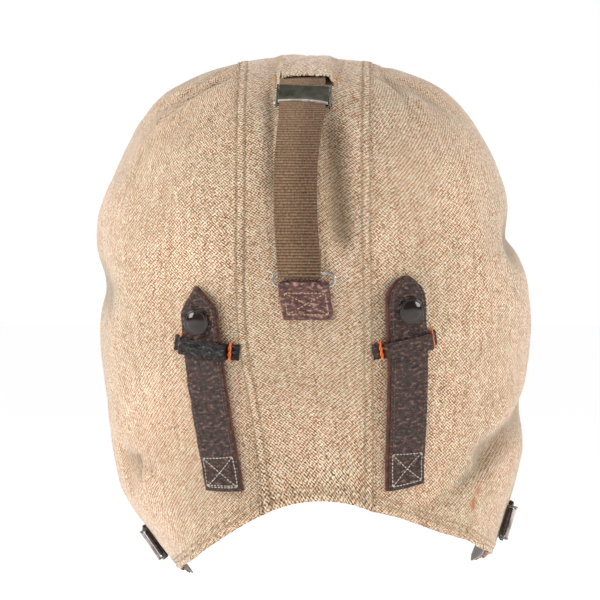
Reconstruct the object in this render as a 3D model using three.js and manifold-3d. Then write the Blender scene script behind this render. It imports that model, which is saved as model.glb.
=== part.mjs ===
// A soft canvas flying helmet: three canvas panels over a lining, ribbed webbing down the back of the
// crown with a steel lever clamp and an anchor ring, two leather goggle straps with snaps and keepers,
// and a lever clamp on a leather tab at each cheek.
//
// Millimetres, +Z up. The wearer faces +Y, and the wearer's right is +X. The origin is the inside of
// the crown, where the top of the head touches it. Azimuths are degrees round +Z from the nape, so 0
// is the nape, 90 is an ear and 180 is the forehead. Fan angles are degrees in a plane across X round
// the fan centre, from straight ahead, over the crown at 90, to the nape.

import * as THREE from "three";
import { mergeVertices } from "three/addons/utils/BufferGeometryUtils.js";
import Module from "manifold-3d";

const wasm = await Module();
wasm.setup();

// Thicknesses, and the gap between pieces that touch on the real helmet
const CANVAS = 1.3;
const LINING = 1.0;
const STRAP_LEATHER = 2.2; // two layers sewn together
const THIN_LEATHER = 1.3;
const WEBBING = 1.4;
const STEEL = 0.7;
const GAP = 0.3;

// The canvas is a grid: cells along the seams, and across a side panel and the centre panel
const ALONG = 34;
const ACROSS_SIDE = 18;
const ACROSS_CENTRE = 4;
const LINING_STEP = 2; // cells of canvas to a cell of lining

// The outer form, a row for each height: half width to the left and right, reach to the back and front
const ROUNDNESS = 2.2; // exponent of the horizontal sections, 2 is an ellipse
const SECTIONS = [
  { z: 2.8, left: 0.0, right: 0.0, back: 0.0, front: 0.0 },
  { z: -3.6, left: 42.4, right: 46.8, back: 40.5, front: 43.0 },
  { z: -13.0, left: 62.0, right: 66.6, back: 61.0, front: 66.0 },
  { z: -27.0, left: 74.5, right: 79.8, back: 78.3, front: 85.8 },
  { z: -46.0, left: 85.0, right: 91.2, back: 90.0, front: 100.0 },
  { z: -65.0, left: 93.0, right: 98.0, back: 96.0, front: 106.0 },
  { z: -83.5, left: 96.2, right: 102.0, back: 98.5, front: 108.0 },
  { z: -102.0, left: 95.8, right: 106.5, back: 98.5, front: 108.0 },
  { z: -121.0, left: 95.0, right: 108.2, back: 96.0, front: 106.5 },
  { z: -140.0, left: 93.2, right: 106.5, back: 92.5, front: 104.0 },
  { z: -159.0, left: 90.6, right: 105.2, back: 88.5, front: 101.0 },
  { z: -177.5, left: 88.2, right: 104.2, back: 85.0, front: 98.0 },
  { z: -196.0, left: 85.2, right: 100.8, back: 82.5, front: 94.0 },
  { z: -206.0, left: 80.6, right: 97.6, back: 82.0, front: 91.0 },
  { z: -217.5, left: 72.0, right: 94.0, back: 82.0, front: 88.0 },
  { z: -228.0, left: 64.2, right: 89.6, back: 82.0, front: 85.0 },
  { z: -236.0, left: 56.6, right: 82.5, back: 82.0, front: 82.0 },
  { z: -244.0, left: 48.0, right: 72.0, back: 82.0, front: 78.0 },
];
const FAN_CENTRE = new THREE.Vector3(0, 0, -110);
const RAY = { length: 240, halvings: 40 }; // the search for where a ray leaves the form

// Valleys of the canvas: both ends by azimuth (left is negative) and height, depth, and half width
const FOLDS = [
  { fromAzimuth: -38, fromZ: -5, toAzimuth: -74, toZ: -31, depth: 2.6, spread: 7 },
  { fromAzimuth: 38, fromZ: -4, toAzimuth: 62, toZ: -22, depth: 2.4, spread: 7 },
  { fromAzimuth: 66, fromZ: -88, toAzimuth: 108, toZ: -74, depth: 5.4, spread: 12 },
  { fromAzimuth: -62, fromZ: -110, toAzimuth: -112, toZ: -97, depth: 4.2, spread: 13 },
  { fromAzimuth: 52, fromZ: -186, toAzimuth: 96, toZ: -152, depth: 4.6, spread: 11 },
  { fromAzimuth: -58, fromZ: -184, toAzimuth: -72, toZ: -192, depth: 2.8, spread: 12 },
  { fromAzimuth: 9, fromZ: -32, toAzimuth: 11.5, toZ: -88, depth: 3.2, spread: 8 },
];
const FOLD_POINTS = 6;
const CANVAS_EASE = { depth: 0, spread: 0 };
const LINING_EASE = { depth: 2.6, spread: 7 }; // the lining's valleys are deeper and wider than the canvas's
const LINING_GAP = 0.6;

// The seams that join the panels, by share of the way from forehead to nape
const SEAMS = [
  { share: 0.0, left: -27.0, right: 30.0 },
  { share: 0.35, left: -27.4, right: 31.0 },
  { share: 0.6, left: -27.8, right: 29.8 },
  { share: 0.8, left: -27.0, right: 30.6 },
  { share: 0.92, left: -20.5, right: 31.3 },
  { share: 1.0, left: -16.0, right: 31.3 },
];

// The hems: the forehead's, the nape's with its peak, the face openings', and the necks' to the tips
const FOREHEAD_Z = -60;
const NAPE_PEAK = { x: 9, z: -201.9, drop: 0.009 }; // the hem falls by drop times the distance squared
const FACE_HEM = [
  { azimuth: 150, z: -67 },
  { azimuth: 138, z: -79 },
  { azimuth: 129, z: -98 },
  { azimuth: 124, z: -122 },
  { azimuth: 121, z: -152 },
  { azimuth: 118, z: -186 },
  { azimuth: 114, z: -216 },
];
const NECK_HEM = {
  left: [
    { azimuth: 15.3, z: -210.5 },
    { azimuth: 20.8, z: -214.9 },
    { azimuth: 26.8, z: -219.7 },
    { azimuth: 33.8, z: -224.8 },
    { azimuth: 41.6, z: -229.5 },
    { azimuth: 70, z: -235.0 },
  ],
  right: [
    { azimuth: 31.5, z: -210.2 },
    { azimuth: 41, z: -215.2 },
    { azimuth: 55, z: -220.8 },
    { azimuth: 63, z: -224.6 },
    { azimuth: 82, z: -228.8 },
  ],
};
const TIP = { left: -236.2, right: -231.0, frontAzimuth: 110, backAzimuth: 98, rounding: 3.5 };

// The canvas loop over the webbing: its span from side to side, and its lift along the way
const LOOP = { x: 2.4, halfSpan: 14.8, halfBridge: 12.2, wall: 1, cells: 10 };
const LOOP_ARCH = [
  { fan: 84, lift: 0.3 },
  { fan: 95, lift: 0.3 },
  { fan: 102, lift: 1.0 },
  { fan: 107.5, lift: 2.5 },
  { fan: 115, lift: 3.6 },
  { fan: 122.3, lift: 5.0 },
];

// The free face of the webbing, from under the loop to the ring. The clamp sits on the straight stretch
// between the two clamp rows.
const WEBBING_PATH = [
  { fan: 108, height: 0.5, x: 1.2, width: 20.4 },
  { fan: 112.5, height: 0.8, x: 1.2, width: 20.4 },
  { fan: 117, height: 1.4, x: 1.0, width: 20.5 },
  { fan: 123, height: 2.1, x: 0.6, width: 20.8, clamp: true },
  { fan: 134, height: 2.4, x: 0.3, width: 20.8, clamp: true },
  { fan: 139, height: 2.8, x: -0.8, width: 20.0 },
  { fan: 145, height: 3.2, x: -2.0, width: 19.5 },
  { fan: 152, height: 3.4, x: -2.6, width: 19.3 },
  { fan: 160, height: 3.5, x: -2.4, width: 19.4 },
  { fan: 167, height: 3.6, x: -1.6, width: 19.4 },
];
const WEBBING_END = { x: -0.8, width: 19.2, tail: [5, 10] };

// The ring and its leather tab, by height
const RING = { x: 1.2, width: 29.6, top: -99.0, bottom: -104.6, radius: 0.7, cells: 40, sides: 6 };
const TAB = { width: 23.2, foot: -119.6, topX: 1.0, footX: 3.4, rows: [1, 0.72, 0.45] };
const HALF_TURN_CELLS = 6;

// The goggle straps: foot and tip in the back view, and a row for each section from the foot
const GOGGLE_STRAPS = {
  left: { foot: [-34.3, -197.3], tip: [-45.2, -104.7], snap: 0.815, shape: "pointed" },
  right: { foot: [47.0, -195.9], tip: [47.6, -100.0], snap: 0.834, shape: "rounded" },
};
const STRAP_ROWS = [
  { share: 0.0, height: 0.4, pointed: 18.2, rounded: 17.8 },
  { share: 0.09, height: 0.5, pointed: 18.2, rounded: 17.8 },
  { share: 0.19, height: 1.0, pointed: 18.2, rounded: 17.8 },
  { share: 0.32, height: 1.7, pointed: 18.1, rounded: 17.9 },
  { share: 0.46, height: 2.1, pointed: 18.0, rounded: 18.0 },
  { share: 0.6, height: 2.4, pointed: 18.0, rounded: 18.0 },
  { share: 0.7, height: 2.6, pointed: 17.9, rounded: 18.0 },
  { share: 0.79, height: 2.8, pointed: 17.8, rounded: 17.9 },
  { share: 0.88, height: 2.8, pointed: 17.2, rounded: 17.2 },
  { share: 0.925, height: 2.7, pointed: 13.0, rounded: 14.8 },
  { share: 0.965, height: 2.6, pointed: 7.6, rounded: 10.4 },
  { share: 1.0, height: 2.5, pointed: 2.2, rounded: 3.8 },
];

// A snap, by radius and height above the canvas: foot, post and domed cap
const SNAP_PROFILE = [
  [0, 0.3],
  [4.6, 0.3],
  [4.6, 2.2],
  [1.7, 2.2],
  [1.7, 5.4],
  [5.1, 5.4],
  [5.5, 6.0],
  [5.1, 6.8],
  [3.9, 7.5],
  [2.1, 7.9],
  [0, 8.0],
];
const SNAP_SIDES = 14;
const POST_HOLE = { radius: 2.1, length: 30 };

// The keepers: both ends in the back view, how far the bridge is off the middle, and its section
const KEEPERS = {
  left: { from: [-56.8, -129.7], to: [-27.2, -134.6], offset: -0.2 },
  right: { from: [31.9, -134.4], to: [60.4, -127.5], offset: 0.8 },
};
const KEEPER = { width: 7.4, halfBridge: 10.9, lift: 5.3 };
const SHOULDER = 0.8; // how round a bridge's corners are, as a share of its wall

// The clamps. Each is on a strap, and its lever turns on two pins at the end away from its thumb edge.
const CLAMP = {
  barrel: 0.75,
  barrelInset: 0.2, // from the barrel to the end of the ears
  pin: 0.4,
  pinEnd: 0.1, // how far a pin stands out of its ear
  pinHole: 0.65,
  side: 0.4, // between the lever and an ear
  hollow: 1.3, // how far the thumb edge curves in
  lip: 0.8, // how far the thumb edge turns down towards the strap
  knob: 0.8,
  knobLength: 1.8,
  baseInset: 1, // how much shorter the base is than the ears
  sides: 12,
};
// An ear's outline: its height over the lever, its round corner and flat top, and its low thumb end
const EAR = { proud: 0.2, corner: 0.8, cornerRun: 1, flatEnd: 3, slopeEnd: 1.6, shoulder: 0.4, thumb: 0.6 };
const CROWN_CLAMP = { x: 1.2, clear: 23.6, length: 12.4, turn: -4, layer: WEBBING };
const CHEEK_CLAMP = { clear: 14.6, length: 10.6, layer: THIN_LEATHER };

// The cheeks: where the clamp sits, and the leather tab from its narrow end, which is flat in the clamp
// and then follows the canvas
const CHEEKS = {
  left: { azimuth: 81, z: -223.6 },
  right: { azimuth: 83, z: -214.2 },
};
const CHEEK_ROWS = [
  { along: -7.0, width: 13.0, height: 1.3, follow: 0 },
  { along: 6.6, width: 13.0, height: 1.3, follow: 0 },
  { along: 9.0, width: 18.6, height: 0.9, follow: 0.5 },
  { along: 12.0, width: 18.6, height: 0.4, follow: 1 },
  { along: 18.0, width: 18.0, height: 0.4, follow: 1 },
  { along: 24.0, width: 16.0, height: 0.4, follow: 1 },
];

const FINISHES = {
  canvas: { color: 0xb59a76, roughness: 0.95, metalness: 0 },
  lining: { color: 0x8f8a92, roughness: 0.7, metalness: 0 },
  webbing: { color: 0x6d5540, roughness: 0.9, metalness: 0 },
  leather: { color: 0x3b2a27, roughness: 0.45, metalness: 0 },
  redLeather: { color: 0x5a2e2b, roughness: 0.5, metalness: 0 },
  steel: { color: 0x4a4b45, roughness: 0.35, metalness: 0.8 },
  snap: { color: 0x2e2724, roughness: 0.25, metalness: 0.4 },
};

const radians = THREE.MathUtils.degToRad;
const { clamp, lerp } = THREE.MathUtils;

// The value of a table at a place, smooth through every row. Rows rise or fall steadily along `by`.
function smooth(rows, by, name, place) {
  const last = rows.length - 1;
  const rising = rows[last][by] > rows[0][by];
  let i = 0;
  while (i < last - 1 && (rising ? place > rows[i + 1][by] : place < rows[i + 1][by])) i++;
  const [before, from, to, after] = [i - 1, i, i + 1, i + 2].map((k) => rows[clamp(k, 0, last)]);
  const slope = (a, b) => (b[name] - a[name]) / (b[by] - a[by]);
  const span = to[by] - from[by];
  const t = clamp((place - from[by]) / span, 0, 1);
  return (
    (2 * t ** 3 - 3 * t ** 2 + 1) * from[name] +
    (t ** 3 - 2 * t ** 2 + t) * span * slope(before, to) +
    (3 * t ** 2 - 2 * t ** 3) * to[name] +
    (t ** 3 - t ** 2) * span * slope(from, after)
  );
}

// The sections with their sizes squared, which makes the crown round where they are smoothed
const SQUARES = SECTIONS.map(({ z, ...sizes }) => {
  const squared = Object.entries(sizes).map(([name, size]) => [name, size ** 2]);
  return { z, ...Object.fromEntries(squared) };
});

function reach(name, z) {
  return z >= SECTIONS[0].z ? 0 : Math.sqrt(Math.max(smooth(SQUARES, "z", name, z), 0));
}

// 1 on the form, less inside it and more outside it
function form({ x, y, z }) {
  const wide = reach(x < 0 ? "left" : "right", z);
  const deep = reach(y < 0 ? "back" : "front", z);
  if (!wide || !deep) return Infinity;
  return (Math.abs(x) / wide) ** ROUNDNESS + (Math.abs(y) / deep) ** ROUNDNESS;
}

// Where a ray from inside leaves the form
function leaves(start, direction) {
  let [inside, outside] = [0, RAY.length];
  for (let i = 0; i < RAY.halvings; i++) {
    const middle = (inside + outside) / 2;
    if (form(start.clone().addScaledVector(direction, middle)) < 1) inside = middle;
    else outside = middle;
  }
  return start.clone().addScaledVector(direction, inside);
}

function onForm(point) {
  return leaves(FAN_CENTRE, point.clone().sub(FAN_CENTRE).normalize());
}

function outwards(point) {
  const step = 0.4;
  const inner = point.clone().lerp(FAN_CENTRE, 0.01); // where the form is defined on every side
  const slopes = ["x", "y", "z"].map((axis) => {
    const [low, high] = [-step, step].map((shift) => {
      const moved = inner.clone();
      moved[axis] += shift;
      return form(moved);
    });
    return high - low;
  });
  return new THREE.Vector3(...slopes).normalize();
}

function atAzimuth(azimuth, z) {
  const angle = radians(azimuth);
  return leaves(new THREE.Vector3(0, 0, z), new THREE.Vector3(Math.sin(angle), -Math.cos(angle), 0));
}

// A point of the form's back, by its place in the back view
function onBack(x, z) {
  const share = 1 - (Math.abs(x) / reach(x < 0 ? "left" : "right", z)) ** ROUNDNESS;
  return new THREE.Vector3(x, -reach("back", z) * share ** (1 / ROUNDNESS), z);
}

function atFan(x, fan) {
  const start = new THREE.Vector3(x, FAN_CENTRE.y, FAN_CENTRE.z);
  return leaves(start, new THREE.Vector3(0, Math.cos(radians(fan)), Math.sin(radians(fan))));
}

function fanOf(point) {
  const angle = THREE.MathUtils.radToDeg(Math.atan2(point.z - FAN_CENTRE.z, point.y));
  return angle < -90 ? angle + 360 : angle;
}

const FOLD_LINES = FOLDS.map(({ fromAzimuth, fromZ, toAzimuth, toZ, depth, spread }) => {
  const points = Array.from({ length: FOLD_POINTS }, (_, i) => {
    const share = i / (FOLD_POINTS - 1);
    return atAzimuth(lerp(fromAzimuth, toAzimuth, share), lerp(fromZ, toZ, share));
  });
  return { points, depth, spread };
});

// How far the valleys push a layer in at a point of the form
function valley(point, ease) {
  let push = 0;
  for (const { points, depth, spread } of FOLD_LINES) {
    const distances = points.slice(1).map((end, i) => {
      const foot = new THREE.Line3(points[i], end).closestPointToPoint(point, true, new THREE.Vector3());
      return foot.distanceTo(point);
    });
    push += (depth + ease.depth) * Math.exp(-((Math.min(...distances) / (spread + ease.spread)) ** 2));
  }
  return push;
}

// A point of the form, moved to a height above the outside of the canvas
function above(point, height, ease = CANVAS_EASE) {
  return point.clone().addScaledVector(outwards(point), height - valley(point, ease));
}

// The centre panel's form, across from the left seam to the right one, and along from the forehead
function centreForm(across, along) {
  const last = SEAMS[SEAMS.length - 1];
  const x = lerp(smooth(SEAMS, "share", "left", along), smooth(SEAMS, "share", "right", along), across);
  const startX = lerp(SEAMS[0].left, SEAMS[0].right, across);
  const endX = lerp(last.left, last.right, across);
  const nape = onBack(endX, NAPE_PEAK.z - NAPE_PEAK.drop * (endX - NAPE_PEAK.x) ** 2);
  const forehead = onBack(startX, FOREHEAD_Z);
  forehead.y *= -reach("front", FOREHEAD_Z) / reach("back", FOREHEAD_Z);
  return atFan(x, lerp(fanOf(forehead), fanOf(nape), along));
}

// A side panel is laid out round the ear, with distances from the ear as shares of a quarter turn.
// These turn a point of the form into that layout and back.
function flatten(point) {
  const direction = point.clone().sub(FAN_CENTRE).normalize();
  const turn = Math.acos(Math.min(Math.abs(direction.x), 1)) / (Math.PI / 2);
  return new THREE.Vector2(direction.y, direction.z).setLength(turn);
}

function unflatten(flat, side) {
  const turn = (flat.length() * Math.PI) / 2;
  const rim = flat.clone().setLength(Math.sin(turn));
  return leaves(FAN_CENTRE, new THREE.Vector3(side * Math.cos(turn), rim.x, rim.y));
}

// The four edges of a side panel in that layout
function sideEdges(name) {
  const side = name === "left" ? -1 : 1;
  const place = ({ azimuth, z }) => flatten(atAzimuth(side * azimuth, z));
  const seam = (along) => {
    const point = centreForm(side < 0 ? 0 : 1, along);
    return flatten(atFan(point.x + side * GAP, fanOf(point)));
  };
  const front = { azimuth: TIP.frontAzimuth, z: TIP[name] };
  const back = { azimuth: TIP.backAzimuth, z: TIP[name] };
  const middle = { azimuth: (TIP.frontAzimuth + TIP.backAzimuth) / 2, z: TIP[name] - TIP.rounding };
  return {
    side,
    seam,
    face: new THREE.SplineCurve([seam(0), ...[...FACE_HEM, front].map(place)]),
    neck: new THREE.SplineCurve([seam(1), ...[...NECK_HEM[name], back].map(place)]),
    tip: new THREE.SplineCurve([front, middle, back].map(place)),
  };
}

// A side panel's form, down from the seam to the tip, and along from the face to the neck
function sideForm({ side, seam, face, neck, tip }, down, along) {
  const flat = new THREE.Vector2()
    .addScaledVector(seam(along), 1 - down)
    .addScaledVector(tip.getPoint(along), down)
    .addScaledVector(face.getPointAt(down), 1 - along)
    .addScaledVector(neck.getPointAt(down), along)
    .addScaledVector(seam(0), -(1 - along) * (1 - down))
    .addScaledVector(seam(1), -along * (1 - down))
    .addScaledVector(tip.getPoint(0), -(1 - along) * down)
    .addScaledVector(tip.getPoint(1), -along * down);
  return unflatten(flat, side);
}

// The geometry with only its positions, its vertices shared, and its faces pointing out
function closed(geometry) {
  const bare = new THREE.BufferGeometry();
  bare.setAttribute("position", geometry.getAttribute("position"));
  if (geometry.getIndex()) bare.setIndex(geometry.getIndex());
  const merged = mergeVertices(bare);
  const position = merged.getAttribute("position");
  const index = merged.getIndex();
  const [a, b, c] = [0, 1, 2].map(() => new THREE.Vector3());
  let volume = 0;
  for (let i = 0; i < index.count; i += 3) {
    a.fromBufferAttribute(position, index.getX(i));
    b.fromBufferAttribute(position, index.getX(i + 1));
    c.fromBufferAttribute(position, index.getX(i + 2));
    volume += a.dot(b.cross(c));
  }
  if (volume < 0) merged.setIndex([...index.array].reverse());
  return merged;
}

// A box whose every vertex is moved by place(across, along, up), each from 0 to 1
function bent(acrossCells, alongCells, place) {
  const box = new THREE.BoxGeometry(1, 1, 1, acrossCells, alongCells, 1);
  const position = box.getAttribute("position");
  for (let i = 0; i < position.count; i++) {
    const corner = new THREE.Vector3().fromBufferAttribute(position, i).addScalar(0.5);
    position.setXYZ(i, ...place(corner.x, corner.y, corner.z));
  }
  return closed(box);
}

function solid(geometry) {
  const merged = closed(geometry);
  return new wasm.Manifold(
    new wasm.Mesh({
      numProp: 3,
      vertProperties: new Float32Array(merged.getAttribute("position").array),
      triVerts: new Uint32Array(merged.getIndex().array),
    }),
  );
}

function geometryOf(manifold) {
  const mesh = manifold.getMesh();
  const geometry = new THREE.BufferGeometry();
  geometry.setAttribute("position", new THREE.BufferAttribute(mesh.vertProperties, 3));
  return geometry.setIndex(new THREE.BufferAttribute(mesh.triVerts, 1));
}

function named(name, geometry, finish) {
  geometry.computeVertexNormals();
  const mesh = new THREE.Mesh(geometry, new THREE.MeshStandardMaterial(finish));
  mesh.name = name;
  return mesh;
}

// The canvas, in cells from the left tip over both seams to the right tip
const SIDES = { left: sideEdges("left"), right: sideEdges("right") };
const LEFT_SEAM = ACROSS_SIDE;
const RIGHT_SEAM = ACROSS_SIDE + ACROSS_CENTRE;
const CELLS = 2 * ACROSS_SIDE + ACROSS_CENTRE;

function canvasForm(name, cell, along) {
  if (name === "left") return sideForm(SIDES.left, 1 - cell / ACROSS_SIDE, along);
  if (name === "right") return sideForm(SIDES.right, (cell - RIGHT_SEAM) / ACROSS_SIDE, along);
  return centreForm((cell - LEFT_SEAM) / ACROSS_CENTRE, along);
}

function canvasPanel(name, fromCell, toCell) {
  return bent(toCell - fromCell, ALONG, (across, along, up) =>
    above(canvasForm(name, lerp(fromCell, toCell, across), along), (up - 1) * CANVAS),
  );
}

function lining() {
  return bent(CELLS / LINING_STEP, ALONG / LINING_STEP, (across, along, up) => {
    const cell = lerp(CELLS, 0, across);
    const name = cell < LEFT_SEAM ? "left" : cell > RIGHT_SEAM ? "right" : "centre";
    return above(canvasForm(name, cell, along), -CANVAS - LINING_GAP - (1 - up) * LINING, LINING_EASE);
  });
}

// The section of a bridge over a strap, from foot to foot. Each row holds the place across and the
// height of the inside and of the outside.
function bridgeRows({ halfSpan, halfBridge, offset, lift, wall }) {
  const half = (side) => {
    const end = side * halfSpan;
    const inside = offset + side * halfBridge;
    const outside = inside + side * wall;
    const shoulder = inside + side * wall * SHOULDER;
    return [
      { inside: end, low: GAP, outside: end, high: GAP + wall },
      { inside, low: GAP, outside, high: GAP + wall },
      { inside, low: lift, outside: shoulder, high: lift + wall * SHOULDER },
      { inside: inside * 0.5, low: lift, outside: inside * 0.5, high: lift + wall },
    ];
  };
  const middle = { inside: offset / 2, low: lift, outside: offset / 2, high: lift + wall };
  return [...half(-1), middle, ...half(1).reverse()];
}

function crownLoop() {
  const firstFan = LOOP_ARCH[0].fan;
  const lastFan = LOOP_ARCH[LOOP_ARCH.length - 1].fan;
  const rowsAt = (fan) => bridgeRows({ ...LOOP, offset: 0, lift: smooth(LOOP_ARCH, "fan", "lift", fan) });
  const last = rowsAt(firstFan).length - 1;
  return bent(last, LOOP.cells, (across, along, up) => {
    const fan = lerp(firstFan, lastFan, along);
    const { inside, low, outside, high } = rowsAt(fan)[Math.round(across * last)];
    return above(atFan(LOOP.x + lerp(inside, outside, up), fan), lerp(low, high, up));
  });
}

// A tape through points in the middle plane. Each point has the tape's x and width there.
function tape(stations, thickness) {
  const last = stations.length - 1;
  return bent(1, last, (across, along, up) => {
    const i = Math.round(along * last);
    const { point, x, width } = stations[i];
    const before = stations[Math.max(i - 1, 0)].point;
    const after = stations[Math.min(i + 1, last)].point;
    const ahead = after.clone().sub(before).normalize();
    const bend = point.clone().sub(before).normalize().dot(ahead);
    const reachOut = ((up - 0.5) * thickness) / (i > 0 && i < last ? bend : 1);
    return new THREE.Vector3(
      x + (across - 0.5) * width,
      point.y - ahead.z * reachOut,
      point.z + ahead.y * reachOut,
    );
  });
}

// Points of a half turn round a bar, in the middle plane, by angle from +Y towards +Z
function halfTurn(bar, radius, fromAngle, toAngle) {
  return Array.from({ length: HALF_TURN_CELLS + 1 }, (_, i) => {
    const angle = radians(lerp(fromAngle, toAngle, i / HALF_TURN_CELLS));
    return new THREE.Vector3(0, bar.y + radius * Math.cos(angle), bar.z + radius * Math.sin(angle));
  });
}

// Where the middle of the ring's two bars lies
const BEHIND = GAP + WEBBING / 2; // the webbing's tail and the tab's back lie this high
const TURN = RING.radius + GAP + WEBBING / 2;
const BARS = {
  top: above(onBack(0, RING.top), BEHIND + TURN),
  bottom: above(onBack(0, RING.bottom), BEHIND + TURN),
};

const webbingStations = WEBBING_PATH.map(({ fan, height, x, width }) => ({
  point: above(atFan(0, fan), height + WEBBING / 2),
  x,
  width,
}));

function crownWebbing() {
  const end = (point) => ({ point, x: WEBBING_END.x, width: WEBBING_END.width });
  const turn = halfTurn(BARS.top, TURN, 180, 360).map(end);
  const tail = WEBBING_END.tail.map((rise) => end(above(onBack(0, RING.top + rise), BEHIND)));
  return tape([...webbingStations, ...turn, ...tail], WEBBING);
}

function anchorTab() {
  const full = RING.bottom - TAB.foot;
  const drops = TAB.rows.map((share) => full * share);
  const at = (drop, height) => above(onBack(0, RING.bottom - drop), height);
  const backHeight = GAP + THIN_LEATHER / 2;
  const points = [
    ...drops.map((drop) => at(drop, backHeight + THIN_LEATHER + GAP)),
    ...halfTurn(BARS.bottom, RING.radius + GAP + THIN_LEATHER / 2, 180, 0),
    ...drops.reverse().map((drop) => at(drop, backHeight)),
  ];
  const stations = points.map((point) => {
    const share = clamp((RING.bottom - point.z) / full, 0, 1);
    return { point, x: lerp(TAB.topX, TAB.footX, share), width: TAB.width };
  });
  return tape(stations, THIN_LEATHER);
}

// The ring is wire bent into a flat oval, two bars joined by half circles
function anchorRing() {
  const upwards = BARS.top.clone().sub(BARS.bottom);
  const bend = upwards.length() / 2;
  upwards.normalize();
  const straight = RING.width / 2 - RING.radius - bend;
  const oval = new THREE.Path();
  oval.moveTo(-straight, -bend);
  oval.lineTo(straight, -bend);
  oval.absarc(straight, 0, bend, -Math.PI / 2, Math.PI / 2);
  oval.lineTo(-straight, bend);
  oval.absarc(-straight, 0, bend, Math.PI / 2, (3 * Math.PI) / 2);
  const middle = BARS.top.clone().lerp(BARS.bottom, 0.5).setX(RING.x);
  class Wire extends THREE.Curve {
    getPoint(share, target = new THREE.Vector3()) {
      const { x, y } = oval.getPointAt(share % 1);
      return target.copy(middle).addScaledVector(upwards, y).setX(RING.x + x);
    }
  }
  return closed(new THREE.TubeGeometry(new Wire(), RING.cells, RING.radius, RING.sides, true));
}

// Leather over the canvas. Each row has a point of the form, a width and a height, and how closely
// it follows the canvas from side to side, from flat at 0 to the canvas's own curve at 1.
function leatherStrip(rows, thickness) {
  const last = rows.length - 1;
  return bent(2, last, (across, along, up) => {
    const i = Math.round(along * last);
    const { point, width, height, follow } = rows[i];
    const ahead = rows[Math.min(i + 1, last)].point.clone().sub(rows[Math.max(i - 1, 0)].point);
    const sideways = ahead.cross(outwards(point)).normalize().multiplyScalar((across - 0.5) * width);
    const flat = above(point, height + up * thickness).add(sideways);
    const curved = above(onForm(point.clone().add(sideways)), height + up * thickness);
    return flat.lerp(curved, follow);
  });
}

// A matrix that stands something on the canvas: its +Z goes out, and its +Y goes as `ahead` does
function standing(point, ahead, height = 0) {
  const out = outwards(point);
  const across = ahead.clone().cross(out).normalize();
  const flat = out.clone().cross(across);
  return new THREE.Matrix4().makeBasis(across, flat, out).setPosition(above(point, height));
}

function goggleStrap(name) {
  const { foot, tip, snap, shape } = GOGGLE_STRAPS[name];
  const centre = (share) => onBack(lerp(foot[0], tip[0], share), lerp(foot[1], tip[1], share));
  const rows = STRAP_ROWS.map((row) => {
    return { point: centre(row.share), width: row[shape], height: row.height, follow: 1 };
  });
  const place = standing(centre(snap), new THREE.Vector3(0, 0, 1));
  const profile = SNAP_PROFILE.map((row) => new THREE.Vector2(...row));
  const upright = place.multiply(new THREE.Matrix4().makeRotationX(Math.PI / 2));
  const stud = new THREE.LatheGeometry(profile, SNAP_SIDES).applyMatrix4(upright);
  const { radius, length } = POST_HOLE;
  const hole = new THREE.CylinderGeometry(radius, radius, length, SNAP_SIDES).applyMatrix4(upright);
  const leather = solid(leatherStrip(rows, STRAP_LEATHER)).subtract(solid(hole));
  return [
    named(`${name}_goggle_strap`, geometryOf(leather), FINISHES.leather),
    named(`${name}_snap`, closed(stud), FINISHES.snap),
  ];
}

function keeper(name) {
  const [from, to] = [KEEPERS[name].from, KEEPERS[name].to].map((end) => onBack(...end));
  const halfSpan = from.distanceTo(to) / 2;
  const middle = onForm(from.clone().lerp(to, 0.5));
  const ahead = to.clone().sub(from).normalize();
  const across = ahead.clone().cross(outwards(middle)).normalize();
  const rows = bridgeRows({ ...KEEPER, halfSpan, offset: KEEPERS[name].offset, wall: THIN_LEATHER });
  const last = rows.length - 1;
  return bent(1, last, (side, along, up) => {
    const { inside, low, outside, high } = rows[Math.round(along * last)];
    const moved = middle
      .clone()
      .addScaledVector(ahead, lerp(inside, outside, up))
      .addScaledVector(across, (side - 0.5) * KEEPER.width);
    return above(onForm(moved), lerp(low, high, up));
  });
}

// A clamp in its own frame: +X across the strap, +Y towards the hinge, +Z out, and its origin in the
// middle of the strap. `clear` is the width between the ears, and `layer` the strap's thickness.
function block(wide, long, deep, x, y, z) {
  return solid(new THREE.BoxGeometry(wide, long, deep).translate(x, y, z));
}

function rod(radius, length, x, y, z) {
  const cylinder = new THREE.CylinderGeometry(radius, radius, length, CLAMP.sides);
  return solid(cylinder.rotateZ(Math.PI / 2).translate(x, y, z));
}

function sheet(shape, curveSegments, depth = STEEL) {
  return new THREE.ExtrudeGeometry(shape, { depth, bevelEnabled: false, curveSegments });
}

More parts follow.
